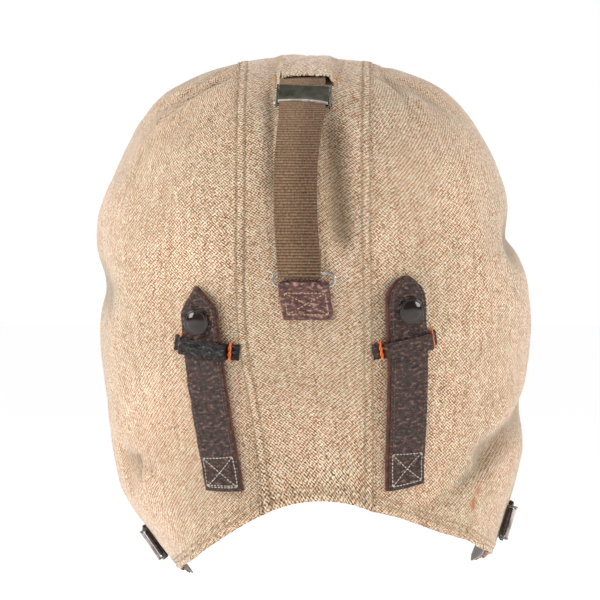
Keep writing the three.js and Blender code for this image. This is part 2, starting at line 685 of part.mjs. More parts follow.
function clampMeshes(name, { clear, length, layer }) {
  const half = length / 2;
  const hinge = { y: half - CLAMP.barrel - CLAMP.barrelInset, z: layer / 2 + GAP + CLAMP.barrel };
  const bed = -layer / 2 - GAP - STEEL;
  const leverTop = hinge.z + CLAMP.barrel;
  const earTop = leverTop + EAR.proud;
  const earX = (clear + STEEL) / 2;

  const ear = new THREE.Shape();
  ear.moveTo(-half, bed);
  ear.lineTo(half, bed);
  ear.lineTo(half, earTop - EAR.corner);
  ear.quadraticCurveTo(half, earTop, half - EAR.cornerRun, earTop);
  ear.lineTo(half - EAR.flatEnd, earTop);
  ear.lineTo(-half + EAR.slopeEnd, hinge.z + EAR.shoulder);
  ear.lineTo(-half, hinge.z - EAR.thumb);
  const { knob, knobLength, pinHole, baseInset } = CLAMP;
  let frame = block(clear + STEEL, length - baseInset, STEEL, 0, baseInset / 2, bed + STEEL / 2);
  for (const side of [-1, 1]) {
    // the shape's X becomes the clamp's +Y, its Y the clamp's +Z, and its depth runs along X
    const upright = sheet(ear, 3).translate(0, 0, -STEEL / 2).rotateX(Math.PI / 2).rotateZ(Math.PI / 2);
    frame = frame.add(solid(upright.translate(side * earX, 0, 0)));
    frame = frame.add(rod(knob, knobLength, side * (earX + STEEL / 2), -half + knob, 0));
    frame = frame.subtract(rod(pinHole, 2 * STEEL, side * earX, hinge.y, hinge.z));
  }

  const leverWidth = clear - 2 * CLAMP.side;
  const thumbEdge = (end) => {
    const shape = new THREE.Shape();
    shape.moveTo(-leverWidth / 2, -half);
    shape.quadraticCurveTo(0, -half + 2 * CLAMP.hollow, leverWidth / 2, -half);
    shape.lineTo(leverWidth / 2, end);
    return shape;
  };
  const plate = thumbEdge(hinge.y);
  plate.lineTo(-leverWidth / 2, hinge.y);
  const lip = thumbEdge(-half + STEEL);
  lip.quadraticCurveTo(0, -half + 2 * CLAMP.hollow + STEEL, -leverWidth / 2, -half + STEEL);
  const lipFoot = leverTop - STEEL - CLAMP.lip;
  const lever = solid(sheet(plate, 8).translate(0, 0, leverTop - STEEL))
    .add(solid(sheet(lip, 8, leverTop - STEEL / 2 - lipFoot).translate(0, 0, lipFoot)))
    .add(rod(CLAMP.barrel, leverWidth, 0, hinge.y, hinge.z))
    .add(rod(CLAMP.pin, clear + 2 * (STEEL + CLAMP.pinEnd), 0, hinge.y, hinge.z));
  return [
    named(name, geometryOf(frame), FINISHES.steel),
    named(`${name}_lever`, geometryOf(lever), FINISHES.steel),
  ];
}

function placed(meshes, matrix) {
  const group = new THREE.Group().add(...meshes);
  group.applyMatrix4(matrix);
  return group;
}

function crownClamp() {
  const clampRows = WEBBING_PATH.map((row, i) => (row.clamp ? i : -1)).filter((i) => i >= 0);
  const [top, foot] = clampRows.map((i) => webbingStations[i].point);
  const upwards = top.clone().sub(foot).normalize();
  const across = new THREE.Vector3(1, 0, 0);
  const out = across.clone().cross(upwards);
  const middle = top.clone().lerp(foot, 0.5).setX(CROWN_CLAMP.x);
  const matrix = new THREE.Matrix4().makeBasis(across, upwards, out).setPosition(middle);
  matrix.multiply(new THREE.Matrix4().makeRotationZ(radians(CROWN_CLAMP.turn)));
  return placed(clampMeshes("crown_clamp", CROWN_CLAMP), matrix);
}

function cheek(name) {
  const { azimuth, z } = CHEEKS[name];
  const side = name === "left" ? -1 : 1;
  const point = atAzimuth(side * azimuth, z);
  const ahead = new THREE.Vector3(0, 1, 0).projectOnPlane(outwards(point)).normalize();
  const rows = CHEEK_ROWS.map(({ along, ...row }) => {
    return { point: onForm(point.clone().addScaledVector(ahead, along)), ...row };
  });
  const matrix = standing(point, ahead, CHEEK_ROWS[0].height + THIN_LEATHER / 2);
  return [
    named(`${name}_cheek_tab`, leatherStrip(rows, THIN_LEATHER), FINISHES.redLeather),
    placed(clampMeshes(`${name}_cheek_clamp`, CHEEK_CLAMP), matrix),
  ];
}

const helmet = new THREE.Group();
helmet.add(
  named("left_side_panel", canvasPanel("left", 0, LEFT_SEAM), FINISHES.canvas),
  named("centre_panel", canvasPanel("centre", LEFT_SEAM, RIGHT_SEAM), FINISHES.canvas),
  named("right_side_panel", canvasPanel("right", RIGHT_SEAM, CELLS), FINISHES.canvas),
  named("lining", lining(), FINISHES.lining),
  named("crown_loop", crownLoop(), FINISHES.canvas),
  named("crown_webbing", crownWebbing(), FINISHES.webbing),
  named("anchor_ring", anchorRing(), FINISHES.steel),
  named("anchor_tab", anchorTab(), FINISHES.redLeather),
  crownClamp(),
);
for (const name of ["left", "right"]) {
  helmet.add(...goggleStrap(name));
  helmet.add(named(`${name}_keeper`, keeper(name), FINISHES.leather));
  helmet.add(...cheek(name));
}

export default helmet;
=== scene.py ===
"""The looks of a soft canvas flying helmet, seen from behind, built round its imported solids.

Sizes are in millimetres with +Z up, as in the solids' own source, and MM turns them into metres. The
wearer faces +Y, so the photographed back faces -Y. The origin is the inside of the crown. Azimuths are
degrees round +Z from the nape: 0 is the nape, 90 is an ear and 180 is the forehead. Fan angles are
degrees in a plane across X round the fan centre, from straight ahead, over the crown at 90, to the nape.
"""

import math

import bmesh
import bpy
import numpy as np
from mathutils import Matrix, Vector


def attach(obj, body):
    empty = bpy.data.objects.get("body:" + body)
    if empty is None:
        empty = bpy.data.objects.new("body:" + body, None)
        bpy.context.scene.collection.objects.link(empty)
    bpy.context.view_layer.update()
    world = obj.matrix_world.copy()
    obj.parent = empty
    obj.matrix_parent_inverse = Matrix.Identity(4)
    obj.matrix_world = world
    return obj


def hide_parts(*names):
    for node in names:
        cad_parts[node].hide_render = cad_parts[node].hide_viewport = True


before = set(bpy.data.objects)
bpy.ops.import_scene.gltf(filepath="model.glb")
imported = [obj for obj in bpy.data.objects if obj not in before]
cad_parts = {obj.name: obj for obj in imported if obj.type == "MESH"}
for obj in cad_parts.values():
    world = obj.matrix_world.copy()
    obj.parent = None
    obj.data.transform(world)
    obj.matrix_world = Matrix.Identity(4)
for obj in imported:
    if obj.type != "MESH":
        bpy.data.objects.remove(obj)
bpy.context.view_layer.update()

MM = 0.001

# The outer form, a row for each height: half width to the left and right, reach to the back and front
ROUNDNESS = 2.2
SECTIONS = [
    dict(z=2.8, left=0.0, right=0.0, back=0.0, front=0.0),
    dict(z=-3.6, left=42.4, right=46.8, back=40.5, front=43.0),
    dict(z=-13.0, left=62.0, right=66.6, back=61.0, front=66.0),
    dict(z=-27.0, left=74.5, right=79.8, back=78.3, front=85.8),
    dict(z=-46.0, left=85.0, right=91.2, back=90.0, front=100.0),
    dict(z=-65.0, left=93.0, right=98.0, back=96.0, front=106.0),
    dict(z=-83.5, left=96.2, right=102.0, back=98.5, front=108.0),
    dict(z=-102.0, left=95.8, right=106.5, back=98.5, front=108.0),
    dict(z=-121.0, left=95.0, right=108.2, back=96.0, front=106.5),
    dict(z=-140.0, left=93.2, right=106.5, back=92.5, front=104.0),
    dict(z=-159.0, left=90.6, right=105.2, back=88.5, front=101.0),
    dict(z=-177.5, left=88.2, right=104.2, back=85.0, front=98.0),
    dict(z=-196.0, left=85.2, right=100.8, back=82.5, front=94.0),
    dict(z=-206.0, left=80.6, right=97.6, back=82.0, front=91.0),
    dict(z=-217.5, left=72.0, right=94.0, back=82.0, front=88.0),
    dict(z=-228.0, left=64.2, right=89.6, back=82.0, front=85.0),
    dict(z=-236.0, left=56.6, right=82.5, back=82.0, front=82.0),
    dict(z=-244.0, left=48.0, right=72.0, back=82.0, front=78.0),
]
FAN_CENTRE = np.array([0.0, 0.0, -110.0])

# The main valleys, by azimuth and height of both ends, with their depth and half width
VALLEYS = [
    dict(ends=[(-38, -5), (-74, -31)], depth=2.6, below=7, above=5),
    dict(ends=[(38, -4), (62, -22)], depth=2.4, below=7, above=7),
    dict(ends=[(66, -88), (108, -74)], depth=5.4, below=9, above=13),
    dict(ends=[(-112, -97), (-62, -110)], depth=4.2, below=13, above=13),
    dict(ends=[(52, -186), (96, -152)], depth=4.6, below=12, above=7),
    dict(ends=[(-72, -192), (-58, -184)], depth=2.8, below=12, above=12),
    dict(ends=[(9, -32), (11.5, -88)], depth=3.2, below=8, above=8),
]

# The seams that join the panels, by share of the way from forehead to nape
SEAMS = [
    dict(share=0.0, left=-27.0, right=30.0),
    dict(share=0.35, left=-27.4, right=31.0),
    dict(share=0.6, left=-27.8, right=29.8),
    dict(share=0.8, left=-27.0, right=30.6),
    dict(share=0.92, left=-20.5, right=31.3),
    dict(share=1.0, left=-16.0, right=31.3),
]
FOREHEAD_Z = -60
NAPE_PEAK = dict(x=9, z=-201.9, drop=0.009)
FACE_HEM = [(150, -67), (138, -79), (129, -98), (124, -122), (121, -152), (118, -186), (114, -216)]
NECK_HEM = {
    "left": [(15.3, -210.5), (20.8, -214.9), (26.8, -219.7), (33.8, -224.8), (41.6, -229.5), (70, -235.0)],
    "right": [(31.5, -210.2), (41, -215.2), (55, -220.8), (63, -224.6), (82, -228.8)],
}
TIP = dict(left=-236.2, right=-231.0, front=110, back=98, rounding=3.5)

# Cloth: thickness, the lap of the centre panel over the side panels, and the turned hem
CANVAS = 0.9
LAP = dict(over=2.0, width=5.4, rise=0.5, rows=(0.9, 4.4))
HEM = dict(width=6.2, rise=0.35, rows=(2.4, 4.3))


def smooth(rows, by, name, place):
    """A table's value at each place, smooth through every row. Rows rise or fall steadily along `by`."""
    at = np.array([row[by] for row in rows], float)
    value = np.array([row[name] for row in rows], float)
    place = np.asarray(place, float)
    if at[-1] < at[0]:
        at, place = -at, -place
    last = len(at) - 1
    i = np.clip(np.searchsorted(at, place) - 1, 0, last - 1)
    before, after = np.maximum(i - 1, 0), np.minimum(i + 2, last)
    span = at[i + 1] - at[i]
    start = span * (value[i + 1] - value[before]) / (at[i + 1] - at[before])
    end = span * (value[after] - value[i]) / (at[after] - at[i])
    t = np.clip((place - at[i]) / span, 0, 1)
    return (
        (2 * t**3 - 3 * t**2 + 1) * value[i]
        + (t**3 - 2 * t**2 + t) * start
        + (3 * t**2 - 2 * t**3) * value[i + 1]
        + (t**3 - t**2) * end
    )


def step(low, high, value):
    """0 below low, 1 above high, and smooth between them"""
    t = np.clip((np.asarray(value, float) - low) / (high - low), 0, 1)
    return t * t * (3 - 2 * t)


def lerp(a, b, share):
    return a + (b - a) * share


def unit(vectors):
    return vectors / np.maximum(np.linalg.norm(vectors, axis=-1, keepdims=True), 1e-9)


SQUARES = [{name: size if name == "z" else size**2 for name, size in row.items()} for row in SECTIONS]


def reach(side, z):
    return np.sqrt(np.maximum(smooth(SQUARES, "z", side, z), 0))


def form(points):
    """1 on the form, less inside it and more outside it"""
    x, y, z = np.moveaxis(points, -1, 0)
    wide = np.where(x < 0, reach("left", z), reach("right", z))
    deep = np.where(y < 0, reach("back", z), reach("front", z))
    inside = (wide > 0) & (deep > 0)
    wide, deep = np.where(inside, wide, 1), np.where(inside, deep, 1)
    value = (np.abs(x) / wide) ** ROUNDNESS + (np.abs(y) / deep) ** ROUNDNESS
    return np.where(inside, value, 1e9)


def leaves(start, direction):
    """Where rays from inside leave the form"""
    start = np.broadcast_to(start, direction.shape)
    inside = np.zeros(direction.shape[:-1])
    outside = np.full(direction.shape[:-1], 240.0)
    for _ in range(30):
        middle = (inside + outside) / 2
        within = form(start + direction * middle[..., None]) < 1
        inside = np.where(within, middle, inside)
        outside = np.where(within, outside, middle)
    return start + direction * inside[..., None]


def on_form(points):
    return leaves(FAN_CENTRE, unit(points - FAN_CENTRE))


def outwards(points):
    inner = lerp(points, FAN_CENTRE, 0.01)
    slopes = [form(inner + shift) - form(inner - shift) for shift in 0.4 * np.eye(3)]
    return unit(np.stack(slopes, axis=-1))


def at_azimuth(azimuth, z):
    angle, z = np.broadcast_arrays(np.radians(azimuth), np.asarray(z, float))
    start = np.stack([0 * z, 0 * z, z], axis=-1)
    return leaves(start, np.stack([np.sin(angle), -np.cos(angle), 0 * z], axis=-1))


def on_back(x, z):
    """Points of the form's back, by their places in the back view"""
    x, z = np.broadcast_arrays(np.asarray(x, float), np.asarray(z, float))
    wide = np.where(x < 0, reach("left", z), reach("right", z))
    share = np.maximum(1 - (np.abs(x) / wide) ** ROUNDNESS, 0)
    return np.stack([x, -reach("back", z) * share ** (1 / ROUNDNESS), z], axis=-1)


def at_fan(x, fan):
    x, angle = np.broadcast_arrays(np.asarray(x, float), np.radians(fan))
    start = np.stack([x, 0 * x + FAN_CENTRE[1], 0 * x + FAN_CENTRE[2]], axis=-1)
    return leaves(start, np.stack([0 * x, np.cos(angle), np.sin(angle)], axis=-1))


def fan_of(points):
    angle = np.degrees(np.arctan2(points[..., 2] - FAN_CENTRE[2], points[..., 1]))
    return np.where(angle < -90, angle + 360, angle)


def catmull(points, share):
    """Points of a spline through a list of points, by share of its spans"""
    points = np.asarray(points, float)
    last = len(points) - 1
    place = np.clip(share, 0, 1) * last
    i = np.minimum(place.astype(int), last - 1)
    t = (place - i)[..., None]
    p0, p1, p2, p3 = (points[np.clip(i + k, 0, last)] for k in (-1, 0, 1, 2))
    v0, v1 = (p2 - p0) / 2, (p3 - p1) / 2
    return (2 * p1 - 2 * p2 + v0 + v1) * t**3 + (-3 * p1 + 3 * p2 - 2 * v0 - v1) * t**2 + v0 * t + p1


def catmull_by_length(points, share):
    shares = np.linspace(0, 1, 201)
    steps = np.linalg.norm(np.diff(catmull(points, shares), axis=0), axis=-1)
    lengths = np.concatenate([[0], np.cumsum(steps)])
    return catmull(points, np.interp(share, lengths / lengths[-1], shares))


def line_push(points, line, out, depth, below, above):
    """How far a fold line pushes the cloth in, with its own width on each side, fading at both ends"""
    nearest = np.full(len(points), 1e9)
    push = np.zeros(len(points))
    spans = len(line) - 1
    for k in range(spans):
        start, along = line[k], line[k + 1] - line[k]
        t = np.clip((points - start) @ along / (along @ along), 0, 1)
        off = points - (start + t[:, None] * along)
        distance = np.linalg.norm(off, axis=-1)
        lower = off @ np.cross(along, out[k]) > 0
        spread = np.where(lower, below, above)
        share = (k + t) / spans
        fade = step(-0.15, 0.2, share) * step(-0.15, 0.2, 1 - share)
        here = depth * fade * np.exp(-((distance / spread) ** 2))
        push = np.where(distance < nearest, here, push)
        nearest = np.minimum(nearest, distance)
    return push


def fold_line(line, row):
    return dict(line=line, out=outwards(line), depth=row["depth"], below=row["below"], above=row["above"])


def valley_line(row):
    (azimuth_a, z_a), (azimuth_b, z_b) = sorted(row["ends"])
    shares = np.linspace(0, 1, 6)
    return fold_line(at_azimuth(lerp(azimuth_a, azimuth_b, shares), lerp(z_a, z_b, shares)), row)


def crease_line(row):
    path = on_back(*np.array(row["path"], float).T)
    return fold_line(on_form(catmull(path, np.linspace(0, 1, 9))), row)


# Smaller creases in the back view, each from left to right or from top to foot, by x and z
CREASES = [
    dict(path=[(1.5, -12), (1, -40), (0, -76), (0, -94)], depth=2.4, below=11, above=11),
    dict(path=[(13.5, -26), (16, -46), (17.5, -70), (20, -88)], depth=2.8, below=5, above=4),
    dict(path=[(22, -44), (26, -58), (27, -76)], depth=-0.8, below=4, above=4),
    dict(path=[(-13, -14), (-13, -38), (-12.5, -66)], depth=2.0, below=2.6, above=2.6),
    dict(path=[(-30, -5), (-44, -12), (-57, -20), (-68, -31)], depth=1.9, below=2.4, above=2.6),
    dict(path=[(-31, -1.5), (-42.5, -7.8), (-57, -16.5)], depth=1.3, below=2.0, above=2.0),
    dict(path=[(-38, -6.5), (-56, -18)], depth=-0.7, below=1.6, above=1.6),
    dict(path=[(-50, -26), (-66, -40), (-78, -58)], depth=0.8, below=5, above=4),
    dict(path=[(35.5, -2.5), (43.8, -11.4), (48.5, -19), (50, -32)], depth=1.5, below=2.4, above=2.2),
    dict(path=[(37, -1), (42.3, -5.7), (49.5, -9.3), (58, -14)], depth=1.4, below=2.0, above=2.4),
    dict(path=[(47, -10), (54, -18), (58, -30)], depth=-0.8, below=2.6, above=2.6),
    dict(path=[(62, -56), (66, -84), (68, -110)], depth=0.6, below=6, above=6),
    dict(path=[(78, -60), (82, -90), (84, -130)], depth=-0.8, below=5, above=5),
    dict(path=[(97, -172), (89, -183), (79, -193), (68, -201), (50, -207)], depth=2.0, below=4.5, above=3.5),
    dict(path=[(80, -180), (70, -190), (58, -196)], depth=-0.8, below=4, above=4),
    dict(path=[(40, -178), (58, -186), (76, -180)], depth=0.8, below=9, above=6),
    dict(path=[(-88, -150), (-80, -164), (-70, -172)], depth=0.9, below=6, above=6),
    dict(path=[(-86, -178), (-77, -185), (-64, -190)], depth=1.6, below=5, above=4),
    dict(path=[(-70, -216), (-56, -208), (-40, -206)], depth=0.8, below=5, above=5),
    dict(path=[(-60, -70), (-62, -100), (-60, -128)], depth=0.6, below=9, above=9),
]
VALLEY_LINES = [valley_line(row) for row in VALLEYS]
CREASE_LINES = [crease_line(row) for row in CREASES]

# Where hard pieces lie on the cloth, so that its small waves fade there: x, z and radius
CALM = [(2, -110, 20), (-68, -224, 16), (95, -214, 16)]


def field(points, length, seed):
    """A smooth irregular field in space, mostly within -1 and 1, with waves of about that length"""
    rng = np.random.default_rng(seed)
    waves = unit(rng.normal(size=(7, 3))) * (2 * np.pi / (length * rng.uniform(0.7, 1.6, 7)))[:, None]
    return np.sin(points @ waves.T + rng.uniform(0, 2 * np.pi, 7)).sum(axis=-1) / 3


def wander(place, length, seed):
    """The same along a line"""
    rng = np.random.default_rng(seed)
    waves = 2 * np.pi / (length * rng.uniform(0.6, 1.7, 5))
    return np.sin(np.asarray(place)[..., None] * waves + rng.uniform(0, 2 * np.pi, 5)).sum(axis=-1) / 2.5


def small_folds(points):
    waves = 0.45 * field(points, 34, 3) + 0.16 * field(points, 13, 4)
    for x, z, radius in CALM:
        away = np.hypot(points[:, 0] - x, points[:, 2] - z) / radius
        waves = waves * (1 - np.exp(-(away**4)))
    return waves + sum(line_push(points, **fold) for fold in CREASE_LINES)


def push_at(points, creased=True):
    push = sum(line_push(points, **fold) for fold in VALLEY_LINES)
    return push + small_folds(points) if creased else push


def above(points, height, creased=True):
    """Points of the form, moved to a height above the canvas, with or without its small folds"""
    flat = points.reshape(-1, 3)
    lift = np.broadcast_to(height, points.shape[:-1]).reshape(-1) - push_at(flat, creased)
    return (flat + outwards(flat) * lift[:, None]).reshape(points.shape)


def cloth(points, height, groove):
    """Points of the canvas at a height, and its painted shade and grime in valleys and stitched grooves"""
    push = push_at(points)
    # Valleys are painted darker: grime together with painted shade where the cloth folds in
    shade = np.clip(0.2 * (push - 1.0), 0, 0.8)
    return points + outwards(points) * (height - push)[:, None], np.clip(shade + groove, 0, 1)


# The panels


def seam_x(side, along):
    return smooth(SEAMS, "share", side, along)


def nape_z(x):
    return NAPE_PEAK["z"] - NAPE_PEAK["drop"] * (x - NAPE_PEAK["x"]) ** 2


def centre_form(x_share, along, spare=0.0):
    """The centre panel's form, from the left seam to the right one, with some cloth to spare at both"""
    left, right = seam_x("left", along) - spare, seam_x("right", along) + spare
    start_x = lerp(SEAMS[0]["left"] - spare, SEAMS[0]["right"] + spare, x_share)
    end_x = lerp(SEAMS[-1]["left"] - spare, SEAMS[-1]["right"] + spare, x_share)
    nape = on_back(end_x, nape_z(end_x))
    forehead = on_back(start_x, FOREHEAD_Z)
    forehead[..., 1] *= -reach("front", FOREHEAD_Z) / reach("back", FOREHEAD_Z)
    return at_fan(lerp(left, right, x_share), lerp(fan_of(forehead), fan_of(nape), along))


def flatten(points):
    direction = unit(points - FAN_CENTRE)
    turn = np.arccos(np.minimum(np.abs(direction[..., 0]), 1)) / (np.pi / 2)
    return unit(direction[..., 1:]) * turn[..., None]


def unflatten(flat, side):
    turn = np.linalg.norm(flat, axis=-1) * np.pi / 2
    rim = unit(flat) * np.sin(turn)[..., None]
    return leaves(FAN_CENTRE, np.stack([side * np.cos(turn), rim[..., 0], rim[..., 1]], axis=-1))


def side_edges(name):
    side = -1 if name == "left" else 1

    def place(azimuth, z):
        return flatten(at_azimuth(side * azimuth, z))

    def seam(along):
        along = np.asarray(along, float)
        points = centre_form(np.full(along.shape, (side + 1) / 2), along)
        return flatten(at_fan(points[..., 0], fan_of(points)))

    z = TIP[name]
    middle = place((TIP["front"] + TIP["back"]) / 2, z - TIP["rounding"])
    front, back = place(TIP["front"], z), place(TIP["back"], z)
    return dict(
        side=side,
        seam=seam,
        face=[seam(0.0), *(place(*at) for at in FACE_HEM), front],
        neck=[seam(1.0), *(place(*at) for at in NECK_HEM[name]), back],
        tip=[front, middle, back],
    )


SIDES = {name: side_edges(name) for name in ("left", "right")}


def side_form(name, down, along):
    """A side panel's form, down from the seam to the tip, and along from the face to the neck"""
    edges = SIDES[name]
    seam, tip = edges["seam"](along), catmull(edges["tip"], along)
    face, neck = catmull_by_length(edges["face"], down), catmull_by_length(edges["neck"], down)
    d, a = down[..., None], along[..., None]
    flat = seam * (1 - d) + tip * d + face * (1 - a) + neck * a
    flat = flat - edges["seam"](0.0) * (1 - a) * (1 - d) - edges["seam"](1.0) * a * (1 - d)
    flat = flat - edges["tip"][0] * (1 - a) * d - edges["tip"][-1] * a * d
    return unflatten(flat, edges["side"])


def lengths_of(lines):
    """The length of each line of points, the lines being rows"""
    return np.linalg.norm(np.diff(lines, axis=1), axis=-1).sum(axis=1)


LENGTH_SHARES = np.linspace(0, 1, 25)
LINE_SHARES = np.linspace(0, 1, 61)
SIDE_LENGTHS = {}
for name in SIDES:
    fixed, moving = np.meshgrid(LENGTH_SHARES, LINE_SHARES, indexing="ij")
    SIDE_LENGTHS[name] = dict(
        along=lengths_of(side_form(name, fixed, moving)),
        down=lengths_of(side_form(name, moving, fixed)),
    )
CENTRE_LENGTH = lengths_of(centre_form(np.full((1, 61), 0.5), LINE_SHARES[None]))[0]

# How far down from the crown the cloth's grain has come, by z, measured over the form's slope
GRAIN_Z = np.linspace(SECTIONS[0]["z"], -250, 400)
grain_reach = (reach("left", GRAIN_Z) + reach("back", GRAIN_Z)) / 2
grain_steps = np.hypot(np.diff(GRAIN_Z), np.diff(grain_reach))
GRAIN_DOWN = np.concatenate([[0], np.cumsum(grain_steps)])
GRAIN_RADIUS = 92


def grain(points):
    """Where the cloth's weave lies on a side panel, across and down"""
    azimuth = np.arctan2(points[..., 0], -points[..., 1])
    down = np.interp(-points[..., 2], -GRAIN_Z, GRAIN_DOWN)
    return np.stack([azimuth * GRAIN_RADIUS, down], axis=-1)


def crowd(share, length, start=None, end=None):
    """Grid shares crowded towards the ends of a line: start and end are (share of the rows, distance)"""
    rows_a, near_a = (start[0], np.minimum(start[1] / length, 0.3)) if start else (0.0, 0.0)
    rows_b, near_b = (end[0], np.minimum(end[1] / length, 0.3)) if end else (0.0, 0.0)
    middle = near_a + (share - rows_a) / (1 - rows_a - rows_b) * (1 - near_a - near_b)
    low = share / max(rows_a, 1e-9) * near_a
    high = 1 - (1 - share) / max(rows_b, 1e-9) * near_b
    return np.where(share < rows_a, low, np.where(share > 1 - rows_b, high, middle))


def stitched_band(distance, band):
    """The height of a folded and stitched band of cloth, by distance from its edge, and its grooves"""
    groove = sum(np.exp(-(((distance - row) / 0.48) ** 2)) for row in band["rows"])
    return band["rise"] * (1 - step(band["width"] - 1.2, band["width"], distance)) - 0.4 * groove, groove


# The seams' puckers: their seed, and how much further along their waves start at the right seam
SEAM_SEED = 11
RIGHT_SEAM_SHIFT = 900


def pucker(distance, place, seed, far=7.0):
    """Small waves that the stitches draw in the cloth beside them"""
    waves = 0.26 * wander(place, 7, seed) + 0.26 * wander(place, 2.6, seed + 1)
    return waves * np.exp(-((distance / far) ** 2))


def centre_place(across, along):
    along = crowd(along, CENTRE_LENGTH, start=(0.05, 8), end=(0.05, 8))
    x_share = crowd(across, 60, start=(0.28, 8), end=(0.28, 8))
    points = centre_form(x_share, along, spare=LAP["over"])
    wide = seam_x("right", along) - seam_x("left", along) + 2 * LAP["over"]
    edge = np.minimum(x_share, 1 - x_share) * wide
    hem = np.minimum(along, 1 - along) * CENTRE_LENGTH
    place = along * CENTRE_LENGTH
    (lap, lap_groove), (turned, hem_groove) = stitched_band(edge, LAP), stitched_band(hem, HEM)
    run = place + np.where(x_share < 0.5, 0, RIGHT_SEAM_SHIFT)
    height = lap + turned + pucker(edge, run, SEAM_SEED) + pucker(hem, points[:, 0], 15, 5.0)
    weave = np.stack([lerp(-wide / 2, wide / 2, x_share) + 60, place], axis=-1)
    # Painted shade: the lap's and hem's stitched grooves are painted darker
    placed, shade = cloth(points, height, 0.7 * lap_groove + 0.5 * hem_groove)
    return placed, weave, shade


def side_place(name):
    def place(across, along):
        table = SIDE_LENGTHS[name]
        down = crowd(across, 225, start=(0.1, 9), end=(0.06, 7))
        length = np.interp(down, LENGTH_SHARES, table["along"])
        along = crowd(along, length, start=(0.055, 8), end=(0.075, 8))
        drop = np.interp(along, LENGTH_SHARES, table["down"])
        points = side_form(name, down, along)
        seam, tip = down * drop, (1 - down) * drop
        neck, face = (1 - along) * length, along * length
        hem = np.minimum(np.minimum(neck, face), tip)
        edge = np.where(neck < face, neck, face)
        turned, groove = stitched_band(hem, HEM)
        tucked = 1 - step(LAP["over"] - 0.5, LAP["over"] + 1.8, seam)
        run = along * CENTRE_LENGTH + (0 if name == "left" else RIGHT_SEAM_SHIFT)
        height = turned - 0.65 * tucked + pucker(seam, run, SEAM_SEED)
        height = height + pucker(edge, drop * down, 17 + len(name), 5.0)
        # Painted shade: the cloth tucked under the centre panel's lap and the hem's grooves are painted
        # darker
        placed, shade = cloth(points, height, 0.5 * groove + 0.8 * tucked)
        return placed, grain(points), shade

    return place


def lining_place(across, along):
    """One sheet inside the canvas, from the left tip over both seams to the right tip"""
    reach_in = 0.43
    left = np.clip(1 - across / reach_in, 0, 1)
    right = np.clip((across - (1 - reach_in)) / reach_in, 0, 1)
    x_share = np.clip((across - reach_in) / (1 - 2 * reach_in), 0, 1)
    length = np.where(
        (left > 0) | (right > 0),
        np.interp(np.maximum(left, right), LENGTH_SHARES, SIDE_LENGTHS["left"]["along"]),
        CENTRE_LENGTH,
    )
    inset = 1.6 / length
    along = lerp(inset, 1 - inset, along)
    points = centre_form(x_share, along)
    points = np.where((left > 0)[:, None], side_form("left", left, along), points)
    points = np.where((right > 0)[:, None], side_form("right", right, along), points)
    waves = 0.35 * field(points, 16, 8) + 0.15 * field(points, 7, 9)
    hem = np.minimum(along, 1 - along) * length
    height = -CANVAS - 0.75 + 0.4 * waves * step(2, 12, hem)
    placed = above(points, height)
    tip = step(0.97, 1.0, np.maximum(left, right))
    placed[:, 2] -= 1.5 * tip
    weave = np.stack([across * 500, along * CENTRE_LENGTH], axis=-1)
    return placed, weave


# Making pieces


def place_grid(name, columns, rows, place):
    """A grid whose every vertex is moved by place(across, along), with its weave as the UV map"""
    bm = bmesh.new()
    bmesh.ops.create_grid(bm, x_segments=columns, y_segments=rows, size=0.5)
    mesh = bpy.data.meshes.new(name)
    bm.to_mesh(mesh)
    bm.free()
    flat = np.empty(len(mesh.vertices) * 3)
    mesh.vertices.foreach_get("co", flat)
    across, along = (flat.reshape(-1, 3)[:, :2] + 0.5).T
    points, weave, *shade = place(across, along)
    mesh.vertices.foreach_set("co", (points * MM).ravel())
    if shade:
        # The mesh attribute holds the painted shade, with grime in the valleys, that the finish darkens by
        mesh.attributes.new("grime_and_painted_shade", "FLOAT", "POINT").data.foreach_set("value", shade[0])
    corners = np.empty(len(mesh.loops), int)
    mesh.loops.foreach_get("vertex_index", corners)
    layer = mesh.uv_layers.new(name="weave")
    layer.data.foreach_set("uv", (weave * MM)[corners].ravel())
    mesh.update()
    normals = np.empty(len(mesh.polygons) * 3)
    centres = np.empty(len(mesh.polygons) * 3)
    mesh.polygons.foreach_get("normal", normals)
    mesh.polygons.foreach_get("center", centres)
    outside = normals.reshape(-1, 3) * (centres.reshape(-1, 3) - FAN_CENTRE * MM)
    if outside.sum() < 0:
        mesh.flip_normals()
    mesh.shade_smooth()
    return add_piece(name, mesh)


def add_piece(name, mesh):
    piece = bpy.data.objects.new(name, mesh)
    bpy.context.scene.collection.objects.link(piece)
    return piece


def mesh_piece(name, bm):
    mesh = bpy.data.meshes.new(name)
    bm.to_mesh(mesh)
    bm.free()
    mesh.shade_smooth()
    return add_piece(name, mesh)


def thicken(piece, thickness, round_edge=0.25, segments=2, offset=-1, rim=None):
    """Gives a sheet its thickness, inwards from its face, with rounded edges and a finish for its rim"""
    wall = piece.modifiers.new("thickness", "SOLIDIFY")
    wall.thickness = thickness * MM
    wall.offset = offset
    wall.material_offset_rim = 1 if rim else 0
    edge = piece.modifiers.new("rounded edge", "BEVEL")
    edge.width = round_edge * MM
    edge.segments = segments
    edge.limit_method = "ANGLE"
    edge.angle_limit = math.radians(55)
    return piece


def dress(piece, finishes, body="root", stands_for=()):
    """The piece's materials, the body that it rides on and the nodes that it stands for"""
    for finish in finishes.split():
        piece.data.materials.append(FINISH[finish])
    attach(piece, body)
    if stands_for:
        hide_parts(*stands_for)
    return piece


# Materials. The node helpers take sockets or numbers.


